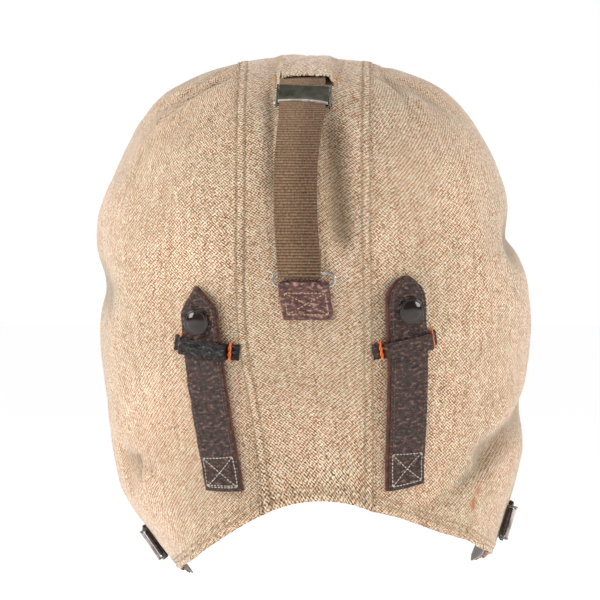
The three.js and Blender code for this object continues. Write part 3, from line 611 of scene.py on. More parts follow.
class Shader:
    """A material's nodes, made one after another"""

    def __init__(self, name):
        self.material = bpy.data.materials.new(name)
        self.material.use_nodes = True
        self.tree = self.material.node_tree
        self.surface = self.tree.nodes["Principled BSDF"]

    def node(self, kind, **settings):
        made = self.tree.nodes.new(kind)
        for setting, value in settings.items():
            setattr(made, setting, value)
        return made

    def feed(self, socket, value):
        if isinstance(value, bpy.types.NodeSocket):
            self.tree.links.new(value, socket)
        elif value is not None:
            socket.default_value = value

    def math(self, operation, a, b=None):
        made = self.node("ShaderNodeMath", operation=operation)
        self.feed(made.inputs[0], a)
        self.feed(made.inputs[1], b)
        return made.outputs[0]

    def uv(self):
        """The weave's place across and along, in millimetres"""
        split = self.node("ShaderNodeSeparateXYZ")
        self.feed(split.inputs[0], self.node("ShaderNodeUVMap", uv_map="weave").outputs[0])
        return [self.math("MULTIPLY", split.outputs[k], 1000) for k in (0, 1)]

    def vector(self, x, y, z=0.0):
        made = self.node("ShaderNodeCombineXYZ")
        for socket, value in zip(made.inputs, (x, y, z)):
            self.feed(socket, value)
        return made.outputs[0]

    def place(self, scale=1000.0):
        """The point in the object's own frame, in millimetres"""
        made = self.node("ShaderNodeVectorMath", operation="SCALE")
        self.feed(made.inputs[0], self.node("ShaderNodeTexCoord").outputs["Object"])
        made.inputs["Scale"].default_value = scale
        return made.outputs[0]

    def noise(self, vector, scale, detail=2.0, roughness=0.5):
        made = self.node("ShaderNodeTexNoise")
        self.feed(made.inputs["Vector"], vector)
        for name, value in (("Scale", scale), ("Detail", detail), ("Roughness", roughness)):
            made.inputs[name].default_value = value
        return made.outputs["Fac"]

    def cells(self, vector, scale, feature="F1"):
        made = self.node("ShaderNodeTexVoronoi", feature=feature)
        self.feed(made.inputs["Vector"], vector)
        made.inputs["Scale"].default_value = scale
        return made.outputs["Distance"]

    def ramp(self, value, *stops):
        """Colours or greys along a value: each stop is (place, colour or grey)"""
        made = self.node("ShaderNodeValToRGB")
        elements = made.color_ramp.elements
        while len(elements) < len(stops):
            elements.new(0.5)
        for element, (at, colour) in zip(elements, stops):
            element.position = at
            grey = (colour, colour, colour) if isinstance(colour, (int, float)) else colour
            element.color = (*grey, 1)
        self.feed(made.inputs[0], value)
        return made.outputs[0]

    def blend(self, share, a, b, kind="MIX"):
        made = self.node("ShaderNodeMix", data_type="RGBA", blend_type=kind)
        self.feed(made.inputs["Factor"], share)
        for name, value in (("A", a), ("B", b)):
            socket = next(s for s in made.inputs if s.name == name and s.type == "RGBA")
            self.feed(socket, (*value, 1) if isinstance(value, tuple) else value)
        return next(s for s in made.outputs if s.type == "RGBA")

    def bump(self, height, distance, strength=1.0):
        made = self.node("ShaderNodeBump")
        made.inputs["Strength"].default_value = strength
        made.inputs["Distance"].default_value = distance * MM
        self.feed(made.inputs["Height"], height)
        return made.outputs[0]

    def finish(self, colour, roughness, normal=None, **sockets):
        self.feed(self.surface.inputs["Base Color"], (*colour, 1) if isinstance(colour, tuple) else colour)
        self.feed(self.surface.inputs["Roughness"], roughness)
        self.feed(self.surface.inputs["Normal"], normal)
        for name, value in sockets.items():
            self.surface.inputs[name.replace("_", " ")].default_value = value
        return self.material


def srgb(red, green, blue):
    """A colour as the eye reads it, 0 to 255, as the shader's linear numbers"""
    return tuple(((c / 255 + 0.055) / 1.055) ** 2.4 for c in (red, green, blue))


# Stains and worn places of the canvas, by their places in the back view
STAINS = [
    dict(x=81.5, z=-198, wide=1.6, tall=5.0, turn=-20, strength=0.6),
    dict(x=78.5, z=-204.5, wide=1.7, tall=3.6, turn=-12, strength=0.95),
    dict(x=67.6, z=-204.5, wide=0.9, tall=1.5, turn=-40, strength=0.6),
    dict(x=86.5, z=-219, wide=0.9, tall=1.4, turn=40, strength=0.7),
    dict(x=25.5, z=-19.8, wide=0.8, tall=2.8, turn=55, strength=0.8),
    dict(x=25.6, z=-27.3, wide=0.9, tall=2.6, turn=50, strength=0.8),
    dict(x=-68, z=-211, wide=0.8, tall=2.0, turn=45, strength=0.6),
    dict(x=-63, z=-211, wide=0.7, tall=1.8, turn=30, strength=0.55),
    dict(x=-43, z=-67, wide=0.9, tall=1.2, turn=-50, strength=0.7),
    dict(x=-77.3, z=-183.6, wide=2.4, tall=3.6, turn=0, strength=0.55, sooty=True),
    dict(x=76, z=-194, wide=2.6, tall=6.0, turn=-50, strength=0.4, sooty=True),
    dict(x=-42, z=-29, wide=0.8, tall=1.1, turn=0, strength=0.4, sooty=True),
]
RUST, SOOT = srgb(226, 148, 92), srgb(150, 142, 124)

# The spacing of the canvas's twill lines, of the yarns across them, and of the webbing's ribs
TWILL = 1.26
WEFT = 1.9
RIB = 1.36


def canvas_finish(name):
    """Heather twill: broken pale lines that run down to the right, crossed by fainter ones"""
    s = Shader(name)
    u, v = s.uv()
    wander = s.math("MULTIPLY", s.math("SUBTRACT", s.noise(s.vector(u, v), 0.4, 1.0), 0.5), 1.7)
    across = s.math("ADD", s.math("SUBTRACT", s.math("MULTIPLY", u, 0.88), v), wander)
    along = s.math("ADD", u, v)
    line = s.math("SINE", s.math("MULTIPLY", across, 2 * math.pi / TWILL))
    weft = s.math("SINE", s.math("MULTIPLY", s.math("ADD", along, wander), 2 * math.pi / WEFT))
    threads = s.vector(s.math("MULTIPLY", across, 0.8), s.math("MULTIPLY", along, 0.5), 4.0)
    strength = s.ramp(s.noise(threads, 1.0, 0.0), (0.38, 0.1), (0.6, 1.0))
    fleck = s.math("SUBTRACT", s.noise(s.vector(u, v, 2.0), 1.2, 1.0), 0.5)
    streak = s.noise(s.vector(s.math("MULTIPLY", u, 0.42), s.math("MULTIPLY", v, 0.03)), 1.0, 3.0, 0.6)
    tone = s.math("ADD", s.math("MULTIPLY", s.math("MULTIPLY", line, strength), 0.42), 0.54)
    tone = s.math("ADD", tone, s.math("MULTIPLY", weft, 0.16))
    tone = s.math("ADD", tone, s.math("MULTIPLY", fleck, 0.9))
    tone = s.math("ADD", tone, s.math("MULTIPLY", s.math("SUBTRACT", streak, 0.5), 0.34))
    colour = s.ramp(
        tone,
        (0.10, srgb(92, 68, 46)),
        (0.34, srgb(158, 126, 94)),
        (0.52, srgb(200, 172, 142)),
        (0.70, srgb(246, 232, 212)),
        (0.90, srgb(255, 255, 255)),
    )
    yarns = s.noise(s.vector(u, v, 3.0), 1.2, 0.0)
    tint = s.ramp(yarns, (0.36, srgb(246, 250, 236)), (0.64, srgb(255, 234, 222)))
    colour = s.blend(1.0, colour, tint, "MULTIPLY")
    large = s.noise(s.place(), 0.035, 2.0)
    warm = s.ramp(s.noise(s.place(), 0.02, 3.0), (0.35, srgb(222, 220, 217)), (0.65, srgb(236, 227, 224)))
    colour = s.blend(1.0, colour, warm, "MULTIPLY")
    colour = s.blend(s.ramp(large, (0.4, 0.0), (0.7, 0.14)), colour, srgb(150, 130, 104))
    # Painted shade and grime: the cloth is darkened towards olive by the mesh attribute, with shade in
    # valleys, grooves, under the lap and at the loop's corners
    grime_and_painted_shade = s.node("ShaderNodeAttribute", attribute_name="grime_and_painted_shade").outputs["Fac"]
    colour = s.blend(s.math("MULTIPLY", grime_and_painted_shade, 0.66), colour, srgb(92, 78, 54))
    for stain in STAINS:
        centre = above(on_back(stain["x"], stain["z"]), 0.0)
        off = s.node("ShaderNodeVectorMath", operation="SUBTRACT")
        s.feed(off.inputs[0], s.place())
        off.inputs[1].default_value = centre
        turned = s.node("ShaderNodeVectorRotate", rotation_type="Y_AXIS")
        s.feed(turned.inputs["Vector"], off.outputs[0])
        turned.inputs["Angle"].default_value = math.radians(stain["turn"])
        squeezed = s.node("ShaderNodeVectorMath", operation="DIVIDE")
        s.feed(squeezed.inputs[0], turned.outputs[0])
        squeezed.inputs[1].default_value = (stain["wide"], stain["wide"] * 3, stain["tall"])
        size = s.node("ShaderNodeVectorMath", operation="LENGTH")
        s.feed(size.inputs[0], squeezed.outputs[0])
        ragged = s.math("ADD", size.outputs["Value"], s.math("MULTIPLY", s.noise(s.place(), 0.6, 3.0), 1.3))
        mask = s.ramp(s.math("MULTIPLY", ragged, 0.5), (0.35, stain["strength"]), (0.95, 0.0))
        colour = s.blend(mask, colour, SOOT if stain.get("sooty") else RUST, "MULTIPLY")
    normal = s.bump(s.math("ADD", s.math("MULTIPLY", line, 0.3), s.math("MULTIPLY", fleck, 1.5)), 0.1, 0.7)
    return s.finish(colour, 0.92, normal, Sheen_Weight=0.35, Sheen_Roughness=0.45, Specular_IOR_Level=0.2)


def leather_finish(name, dark, light, edge, gloss=0.3, shine=0.4):
    """Grained leather, pale on the ridges of its creases as wear and a painted highlight, with painted shade
    in the hollows
    """
    s = Shader(name)
    u, v = s.uv()
    here = s.vector(u, v)
    grain_cells = s.cells(here, 0.8, "SMOOTH_F1")
    wrinkle = s.noise(s.vector(s.math("MULTIPLY", u, 0.4), s.math("MULTIPLY", v, 0.75)), 1.0, 3.0, 0.6)
    patch = s.noise(here, 0.22, 4.0, 0.6)
    colour = s.blend(s.ramp(patch, (0.36, 0.15), (0.68, 0.9)), dark, light)
    # The ridges are painted pale: wear, and a painted highlight on them
    worn_and_highlit_ridges = s.ramp(s.math("ADD", wrinkle, s.math("MULTIPLY", grain_cells, 0.12)), (0.58, 0.0), (0.76, 0.95))
    colour = s.blend(worn_and_highlit_ridges, colour, edge)
    # Painted shade in the hollows of the wrinkles
    shadow = s.ramp(wrinkle, (0.3, 0.9), (0.46, 0.0))
    colour = s.blend(shadow, colour, srgb(16, 10, 8))
    height = s.math("ADD", s.math("MULTIPLY", grain_cells, -0.6), s.math("MULTIPLY", wrinkle, 3.0))
    roughness = s.ramp(patch, (0.3, gloss - 0.06), (0.8, gloss + 0.14))
    return s.finish(colour, roughness, s.bump(height, 0.7, 1.0), Specular_IOR_Level=shine)


def plain_leather(name, colour, edge):
    """Leather for narrow parts with no weave map"""
    s = Shader(name)
    grain_cells = s.cells(s.place(), 1.3)
    patch = s.noise(s.place(), 0.4, 4.0, 0.6)
    mixed = s.blend(s.ramp(patch, (0.42, 0.0), (0.66, 1.0)), colour, edge)
    height = s.math("ADD", s.math("MULTIPLY", grain_cells, 0.5), patch)
    return s.finish(mixed, 0.62, s.bump(height, 0.2, 0.7), Specular_IOR_Level=0.4)


def webbing_finish(name):
    s = Shader(name)
    u, v = s.uv()
    rib = s.math("SINE", s.math("MULTIPLY", v, 2 * math.pi / RIB))
    yarn = s.math("SINE", s.math("MULTIPLY", u, 2 * math.pi / 0.62))
    speck = s.noise(s.vector(s.math("MULTIPLY", u, 1.2), s.math("MULTIPLY", v, 0.9)), 1.0, 3.0, 0.7)
    red = s.noise(s.vector(s.math("MULTIPLY", u, 0.2), s.math("MULTIPLY", v, 0.8)), 1.0, 2.0)
    tone = s.math("ADD", s.math("MULTIPLY", rib, 0.2), s.math("MULTIPLY", yarn, 0.03))
    tone = s.math("ADD", tone, s.math("MULTIPLY", speck, 1.0))
    colour = s.ramp(
        tone,
        (0.22, srgb(50, 37, 26)),
        (0.45, srgb(92, 71, 52)),
        (0.62, srgb(124, 99, 75)),
        (0.80, srgb(150, 124, 98)),
    )
    reddish = s.math("MULTIPLY", s.ramp(red, (0.5, 0.0), (0.7, 1.0)), 0.35)
    colour = s.blend(reddish, colour, srgb(122, 72, 52))
    # Painted shadow: the attribute darkens the webbing near black where it comes out from under the loop
    grime_and_painted_shade = s.node("ShaderNodeAttribute", attribute_name="grime_and_painted_shade").outputs["Fac"]
    colour = s.blend(grime_and_painted_shade, colour, srgb(20, 14, 10))
    height = s.math("ADD", s.math("MULTIPLY", yarn, 0.25), s.math("MULTIPLY", speck, 0.8))
    return s.finish(colour, 0.88, s.bump(height, 0.14, 0.8), Sheen_Weight=0.2, Specular_IOR_Level=0.2)


def satin_finish(name):
    s = Shader(name)
    u, v = s.uv()
    twill = s.math("SINE", s.math("MULTIPLY", s.math("ADD", u, v), 2 * math.pi / 0.7))
    patch = s.noise(s.place(), 0.06, 4.0, 0.6)
    tone = s.math("ADD", patch, s.math("MULTIPLY", twill, 0.03))
    greys = (0.3, srgb(128, 120, 118)), (0.55, srgb(166, 156, 152)), (0.8, srgb(196, 184, 180))
    colour = s.ramp(tone, *greys)
    return s.finish(colour, 0.5, s.bump(twill, 0.05, 0.5), Sheen_Weight=0.3, Specular_IOR_Level=0.5)


def steel_finish(name, dark, light, metal=0.75, low=0.26, high=0.5, shine=0.5):
    s = Shader(name)
    patch = s.noise(s.place(), 0.22, 3.0, 0.5)
    colour = s.ramp(patch, (0.3, dark), (0.75, light))
    roughness = s.ramp(patch, (0.3, low), (0.75, high))
    return s.finish(colour, roughness, s.bump(patch, 0.04, 0.4), Metallic=metal, Specular_IOR_Level=shine)


def thread_finish(name, dark, light, ply=0.55):
    s = Shader(name)
    twist = s.noise(s.place(), 1 / ply, 2.0, 0.6)
    colour = s.ramp(twist, (0.35, dark), (0.65, light))
    return s.finish(colour, 0.8, s.bump(twist, 0.08, 0.8), Sheen_Weight=0.2, Specular_IOR_Level=0.25)


FINISH = {
    "canvas": canvas_finish("heather_canvas"),
    "lining": satin_finish("grey_satin"),
    "webbing": webbing_finish("ribbed_brown_webbing"),
    # Each leather's third colour is the pale of its ridges: wear and a painted highlight
    "dark_leather": leather_finish(
        "dark_brown_leather", srgb(32, 18, 14), srgb(62, 38, 30), srgb(132, 98, 84)
    ),
    "black_leather": leather_finish(
        "black_leather", srgb(10, 9, 8), srgb(22, 19, 17), srgb(96, 90, 84), gloss=0.22, shine=0.3
    ),
    "under_leather": plain_leather("raw_red_leather", srgb(70, 38, 29), srgb(108, 62, 46)),
    "red_leather": leather_finish(
        "red_brown_leather", srgb(64, 32, 30), srgb(112, 68, 60), srgb(190, 148, 134), gloss=0.4, shine=0.5
    ),
    "cheek_leather": leather_finish(
        "dark_red_leather", srgb(28, 17, 16), srgb(52, 31, 28), srgb(84, 56, 50)
    ),
    "pale_edge": plain_leather("raw_pale_leather", srgb(150, 100, 82), srgb(192, 144, 122)),
    "steel": steel_finish("darkened_steel", srgb(60, 60, 50), srgb(98, 97, 84), 0.6, 0.26, 0.4),
    # Near white steel for edges, lip and knobs: wear and a painted highlight
    "worn_steel": steel_finish("worn_steel", srgb(178, 168, 160), srgb(242, 232, 226), 0.4, 0.2, 0.34),
    # Pale steel of the cheek levers: a painted reflection of the white studio
    "steel_painted_with_reflection": steel_finish("steel_painted_with_reflection", srgb(150, 138, 134), srgb(214, 200, 196), 0.4, 0.2, 0.36),
    "wire": steel_finish("bright_wire", srgb(136, 130, 120), srgb(220, 214, 204), 0.8, 0.18, 0.36),
    "snap": steel_finish("black_snap_enamel", srgb(24, 16, 13), srgb(42, 31, 26), 0.0, 0.06, 0.16, 0.4),
    "pale_fibre": thread_finish("pale_fibre", srgb(200, 172, 140), srgb(240, 222, 198)),
    "dull_thread": thread_finish("dull_thread", srgb(116, 94, 62), srgb(190, 164, 128)),
    "tan_thread": thread_finish("tan_thread", srgb(150, 124, 92), srgb(204, 178, 142)),
    "grey_thread": thread_finish("grey_thread", srgb(150, 142, 130), srgb(216, 208, 194)),
    "brown_thread": thread_finish("brown_thread", srgb(66, 50, 42), srgb(138, 110, 92)),
    "orange_thread": thread_finish("orange_thread", srgb(204, 82, 30), srgb(250, 138, 74)),
    "bar_thread": thread_finish("golden_thread", srgb(188, 130, 66), srgb(232, 180, 110)),
}

# Canvas panels and lining
for side in SIDES:
    panel = place_grid(f"{side}_side_canvas", 140, 240, side_place(side))
    thicken(panel, CANVAS)
    dress(panel, "canvas", stands_for=[f"{side}_side_panel"])
centre = place_grid("centre_canvas", 64, 250, centre_place)
thicken(centre, CANVAS)
dress(centre, "canvas", stands_for=["centre_panel"])
lining = place_grid("satin_lining", 150, 130, lining_place)
thicken(lining, 0.5, 0.15)
dress(lining, "lining", stands_for=["lining"])


# Stitches


def stitch_template(long, wide, tall):
    bm = bmesh.new()
    bmesh.ops.create_uvsphere(bm, u_segments=6, v_segments=5, radius=0.5)
    bmesh.ops.rotate(bm, verts=bm.verts, matrix=Matrix.Rotation(math.pi / 2, 3, "Y"))
    bmesh.ops.scale(bm, verts=bm.verts, vec=(long * MM, wide * MM, tall * MM))
    mesh = bpy.data.meshes.new("stitch_template")
    bm.to_mesh(mesh)
    bm.free()
    return mesh


def copies(template, count):
    """A mesh of many copies of a template, made by doubling it"""
    whole, block = bmesh.new(), template.copy()
    while count:
        if count % 2:
            whole.from_mesh(block)
        count //= 2
        double = bmesh.new()
        double.from_mesh(block)
        double.from_mesh(block)
        double.to_mesh(block)
        double.free()
    bpy.data.meshes.remove(block)
    return whole


def sew(name, runs, finish, pitch=2.3, share=0.8, wide=0.5, tall=0.34):
    """Stitches along runs of (points, outward directions), all in one piece"""
    template = stitch_template(pitch * share, wide, tall)
    own = np.array([vert.co for vert in template.vertices])
    placed = []
    for points, outs in runs:
        steps = np.linalg.norm(np.diff(points, axis=0), axis=-1)
        lengths = np.concatenate([[0], np.cumsum(steps)])
        count = max(int(round(lengths[-1] / pitch)), 1)
        middles = (np.arange(count) + 0.5) * lengths[-1] / count

        def sample(places, values=points):
            return np.stack([np.interp(places, lengths, values[:, k]) for k in range(3)], axis=-1)

        at, out = sample(middles), unit(sample(middles, outs))
        ahead = unit(sample(middles + 0.3) - sample(middles - 0.3))
        side = unit(np.cross(out, ahead))
        up = np.cross(ahead, side)
        axes = np.stack([ahead, side, up], axis=1)
        placed.append(np.einsum("vk,nkj->nvj", own, axes) + (at + up * tall * 0.1)[:, None] * MM)
    placed = np.concatenate(placed)
    piece = mesh_piece(name, copies(template, len(placed)))
    piece.data.vertices.foreach_set("co", placed.ravel())
    piece.data.update()
    bpy.data.meshes.remove(template)
    return dress(piece, finish)


def run_on(points, height):
    return above(points, height), outwards(points)


def seam_runs():
    along = np.linspace(0.004, 0.996, 500)
    wide = seam_x("right", along) - seam_x("left", along) + 2 * LAP["over"]
    runs = []
    for row in LAP["rows"]:
        for x_share in (row / wide, 1 - row / wide):
            run = along * CENTRE_LENGTH + np.where(x_share < 0.5, 0, RIGHT_SEAM_SHIFT)
            height = LAP["rise"] - 0.42 + pucker(row, run, SEAM_SEED)
            runs.append(run_on(centre_form(x_share, along, spare=LAP["over"]), height))
    return runs


def hem_runs():
    runs = []
    shares = np.linspace(0.01, 0.99, 60)
    for row in HEM["rows"]:
        height = HEM["rise"] - 0.36
        for along in (row / CENTRE_LENGTH, 1 - row / CENTRE_LENGTH):
            runs.append(run_on(centre_form(shares, np.full(60, along), spare=LAP["over"]), height))
        for name in SIDES:
            down = np.linspace(0.012, 0.965, 160)
            inset = row / np.interp(down, LENGTH_SHARES, SIDE_LENGTHS[name]["along"])
            for along in (inset, 1 - inset):
                runs.append(run_on(side_form(name, down, along), height))
            across = np.linspace(0.2, 0.8, 30)
            drop = np.interp(across, LENGTH_SHARES, SIDE_LENGTHS[name]["down"])
            runs.append(run_on(side_form(name, 1 - row / drop, across), height))
    return runs


sew("seam_stitches", seam_runs(), "dull_thread", wide=0.42)
sew("hem_stitches", hem_runs(), "dull_thread", wide=0.42)

# The webbing down the back of the crown, its ring and the ring's tab, in the middle plane
WEBBING = 1.4
GAP = 0.3
THIN_LEATHER = 1.3
WEBBING_PATH = [
    dict(fan=108, height=0.5, x=1.2, width=20.4),
    dict(fan=112.5, height=0.8, x=1.2, width=20.4),
    dict(fan=117, height=1.4, x=1.0, width=20.5),
    dict(fan=123, height=2.1, x=0.6, width=20.8),
    dict(fan=134, height=2.4, x=0.3, width=20.8),
    dict(fan=139, height=2.8, x=-0.8, width=20.0),
    dict(fan=145, height=3.2, x=-2.0, width=19.5),
    dict(fan=152, height=3.4, x=-2.6, width=19.3),
    dict(fan=160, height=3.5, x=-2.4, width=19.4),
    dict(fan=167, height=3.6, x=-1.6, width=19.4),
]
WEBBING_END = dict(x=-0.8, width=19.2, tail=(5, 10))
RING = dict(x=1.2, width=29.6, top=-99.0, bottom=-104.6, radius=0.7)
TAB = dict(width=23.2, foot=-119.6, top_x=1.0, foot_x=3.4)
BEHIND = GAP + WEBBING / 2
BAR_TURN = RING["radius"] + GAP + WEBBING / 2
BARS = {end: above(on_back(0.0, RING[end])[None], BEHIND + BAR_TURN, False)[0] for end in ("top", "bottom")}


def round_bar(bar, radius, start, end):
    """Points round a bar in the middle plane, by angle from +Y towards +Z"""
    angles = np.radians(np.linspace(start, end, 15))
    y, z = bar[1] + radius * np.cos(angles), bar[2] + radius * np.sin(angles)
    return np.stack([0 * angles, y, z], axis=-1)


def side_share(across):
    """From -1 at one side to 1 at the other"""
    return 2 * across - 1


def tape_place(stations, ribs=0.0, edge=0.0, dent=None, painted_shadow_until=0.0):
    """Places a grid as a tape: each station is its middle point, x and width, with ribs across it, and its
    start painted dark as a shadow
    """
    line = np.array([(*point[1:], x, width) for point, x, width in stations])
    lengths = np.concatenate([[0], np.cumsum(np.linalg.norm(np.diff(line[:, :2], axis=0), axis=-1))])

    def at(run):
        return np.stack([np.interp(run, lengths, line[:, k]) for k in range(4)], axis=-1)

    def place(across, along):
        run = along * lengths[-1]
        y, z, x, width = at(run).T
        ahead = unit(at(run + 0.4)[:, :2] - at(run - 0.4)[:, :2])
        bowed = run + 0.16 * np.sin(side_share(across) * 2.4 + 0.4 * wander(run, 14, 91))
        wave = np.abs(np.sin(np.pi * bowed / RIB)) - 0.5
        side = (across - 0.5) * (width + edge * wave)
        up = ribs * wave + (dent(side, run) if dent else 0)
        points = np.stack([x + side, y - ahead[:, 1] * up, z + ahead[:, 0] * up], axis=-1)
        # Painted shadow: near black from the tape's start to the given run, where the loop's edge shades it
        grime_and_painted_shade = 0.95 * (1 - step(painted_shadow_until - 1.6, painted_shadow_until + 0.6, run)) + 0 * across
        return points, np.stack([side + 20, run], axis=-1), grime_and_painted_shade

    return place, lengths[-1]


def webbing_stations():
    rows = []
    for fan in np.linspace(WEBBING_PATH[0]["fan"], WEBBING_PATH[-1]["fan"], 60):
        height, x, width = (smooth(WEBBING_PATH, "fan", name, fan) for name in ("height", "x", "width"))
        middle = above(at_fan(0.0, fan)[None], height + WEBBING / 2, False)[0]
        rows.append((middle, float(x), float(width)))
    x, width = WEBBING_END["x"], WEBBING_END["width"]
    rows += [(point, x, width) for point in round_bar(BARS["top"], BAR_TURN, 180, 360)]
    tail = [above(on_back(0.0, RING["top"] + rise)[None], BEHIND, False)[0] for rise in WEBBING_END["tail"]]
    return rows + [(point, x, width) for point in tail]


def webbing():
    def cupped(side, run):
        return 0.25 * wander(run, 30, 31) * (side / 10) - 0.12 * (np.abs(side) > 8.9)

    # The webbing is painted dark as far as the loop's edge, a painted shadow of the loop
    place, length = tape_place(webbing_stations(), ribs=0.3, edge=0.3, dent=cupped, painted_shadow_until=27.6)
    piece = place_grid("ribbed_webbing", 22, int(length / RIB * 7), place)
    thicken(piece, WEBBING - 0.5, 0.12, offset=0)
    return dress(piece, "webbing", stands_for=["crown_webbing"])


def tab_stations():
    full = RING["bottom"] - TAB["foot"]
    turn = round_bar(BARS["bottom"], RING["radius"] + GAP + THIN_LEATHER / 2, 180, 0)
    back = GAP + THIN_LEATHER / 2
    front = back + THIN_LEATHER + GAP
    rising = (1.0, 0.72, 0.45)

    def layer(height, drops):
        return [above(on_back(0.0, RING["bottom"] - drop * full)[None], height, False)[0] for drop in drops]

    stations = []
    for point in layer(front, rising) + list(turn) + layer(back, rising[::-1]):
        share = min(max((RING["bottom"] - point[2]) / full, 0), 1)
        stations.append((point, lerp(TAB["top_x"], TAB["foot_x"], share), TAB["width"]))
    return stations


def ring_tab():
    def buckled(side, run):
        return 0.25 * wander(side * 1.3 + run, 9, 41)

    place, _ = tape_place(tab_stations(), dent=buckled)
    piece = place_grid("ring_tab_leather", 26, 90, place)
    thicken(piece, THIN_LEATHER - 0.1, 0.25, offset=0, rim="pale_edge")
    return dress(piece, "red_leather pale_edge", stands_for=["anchor_tab"])


def box_cross(corners, doubled=False):
    """The stitched box with its two diagonals, as lists of corner pairs"""
    a, b, c, d = corners
    lines = [(a, b), (b, c), (c, d), (d, a), (a, c), (b, d)]
    return lines + [(lerp(d, a, 0.06), lerp(c, b, 0.06))] if doubled else lines


def tab_runs():
    bottom, top = TAB["foot"] + 2.0, RING["bottom"] - 3.4
    half = TAB["width"] / 2 - 2.4
    corners = []
    for x, z in ((-half, top), (half, top), (half, bottom), (-half, bottom)):
        middle = lerp(TAB["top_x"], TAB["foot_x"], (RING["bottom"] - z) / (RING["bottom"] - TAB["foot"]))
        corners.append(np.array([middle + x, z]))
    stations = tab_stations()
    heights = np.array([point for point, _, _ in stations[:4]])
    runs = []
    for a, b in box_cross(corners):
        flat = lerp(a, b, np.linspace(0, 1, 20)[:, None])
        y = np.interp(flat[:, 1], heights[:, 2], heights[:, 1]) - THIN_LEATHER / 2 - 0.1
        points = np.stack([flat[:, 0], y, flat[:, 1]], axis=-1)
        runs.append((points, np.tile([0.0, -1.0, 0.1], (20, 1))))
    return runs


def tubes(name, lines, radius, closed=False, sides=5):
    """Round wires or threads, each through its own points in millimetres, as one mesh"""
    curve = bpy.data.curves.new(name, "CURVE")
    curve.dimensions = "3D"
    curve.bevel_depth = radius * MM
    curve.bevel_resolution = sides
    curve.use_fill_caps = not closed
    for points in lines:
        spline = curve.splines.new("POLY")
        spline.points.add(len(points) - 1)
        for place, point in zip(spline.points, points):
            place.co = (*(np.asarray(point) * MM), 1)
        spline.use_cyclic_u = closed
    holder = bpy.data.objects.new(name, curve)
    bpy.context.scene.collection.objects.link(holder)
    bpy.context.view_layer.update()
    mesh = bpy.data.meshes.new_from_object(holder)
    bpy.data.objects.remove(holder)
    mesh.name = name
    mesh.shade_smooth()
    return add_piece(name, mesh)


def anchor_ring():
    upwards = BARS["top"] - BARS["bottom"]
    bend = np.linalg.norm(upwards) / 2
    straight = RING["width"] / 2 - RING["radius"] - bend
    angles = np.radians(np.linspace(-90, 90, 15))
    right = [(straight + bend * math.cos(a), bend * math.sin(a)) for a in angles]
    left = [(-x, -y) for x, y in right]
    middle, upwards = (BARS["top"] + BARS["bottom"]) / 2, unit(upwards)
    points = [middle + upwards * y + np.array([RING["x"] + x, 0, 0]) for x, y in right + left]
    piece = tubes("ring_wire", [points], RING["radius"], closed=True)
    return dress(piece, "wire", stands_for=["anchor_ring"])


webbing()
anchor_ring()
ring_tab()
sew("ring_tab_stitches", tab_runs(), "tan_thread", pitch=1.7, wide=0.5, tall=0.4)

# The canvas loop over the webbing
LOOP = dict(x=2.4, half_span=14.6, half_bridge=12.4, wall=0.8)
LOOP_ARCH = [
    dict(fan=84, lift=0.3),
    dict(fan=95, lift=0.3),
    dict(fan=102, lift=1.0),
    dict(fan=107.5, lift=2.4),
    dict(fan=115, lift=3.3),
    dict(fan=122.3, lift=4.6),
]


def loop_height(side, fan):
    """The loop lies on the canvas at both sides and arches over the webbing between them"""
    bridge = 1 - step(LOOP["half_bridge"] - 2.2, LOOP["half_bridge"] + 0.6, np.abs(side))
    lift = smooth(LOOP_ARCH, "fan", "lift", fan) - GAP
    crown = 0.86 + 0.14 * (1 - (side / LOOP["half_span"]) ** 2)
    sunk = step(LOOP["half_bridge"] - 2, LOOP["half_span"], np.abs(side))
    flush = lerp(GAP + LOOP["wall"], 0.15, sunk)
    return flush + lift * bridge * crown + 0.16 * wander(side + fan, 9, 51) * bridge


def loop_edge(side):
    """The fan angle of the loop's open edge, which is arched and a little ragged"""
    arch = 1.0 * (1 - (side / LOOP["half_span"]) ** 2) + 0.12 * wander(side, 2.4, 52)
    return LOOP_ARCH[-1]["fan"] - 0.1 - arch


def loop_place(across, along):
    side = (across - 0.5) * 2 * LOOP["half_span"]
    fan = lerp(LOOP_ARCH[0]["fan"], loop_edge(side), along)
    points = at_fan(LOOP["x"] + side, fan)
    # Painted shade at the loop's two lower corners, where its sides come down to the canvas
    shade = 0.8 * np.exp(-(((LOOP["half_span"] - np.abs(side)) / 0.7) ** 2)) * step(112, 118, fan)
    return above(points, loop_height(side, fan)), np.stack([side + 60, fan * 1.9], axis=-1), shade


def crown_loop():
    piece = place_grid("canvas_crown_loop", 56, 60, loop_place)
    thicken(piece, LOOP["wall"], 0.2)
    return dress(piece, "canvas", stands_for=["crown_loop"])


def bar_tacks():
    """Short dense stitches at both corners of the loop's edge"""
    runs = []
    for side in (-1, 1):
        for k in range(7):
            fan = LOOP_ARCH[-1]["fan"] - 4.9 + 0.42 * k
            x = LOOP["x"] + side * (LOOP["half_span"] - 0.5) + np.linspace(-0.6, 0.6, 6)
            runs.append(run_on(at_fan(x, np.full(6, fan)), 0.3))
    return runs


def fringe():
    """Short fibres that stand out of the loop's cut edge"""
    rng = np.random.default_rng(7)
    count = 60
    side = rng.uniform(-0.8, 0.8, count) * LOOP["half_span"]
    fan = loop_edge(side) - 0.1
    low = loop_height(side, fan) - 0.4
    root, down = (above(at_fan(LOOP["x"] + side, at), low) for at in (fan, fan + 1))
    way = unit(unit(down - root) + rng.normal(size=(count, 3)) * 0.25)
    fibre = way * rng.uniform(0.3, 0.9, (count, 1))
    middle = root + fibre * 0.5 + rng.normal(size=(count, 3)) * 0.04
    fibres = np.stack([root, middle, root + fibre], axis=1)
    return dress(tubes("loop_fringe", fibres, 0.06, sides=0), "pale_fibre")


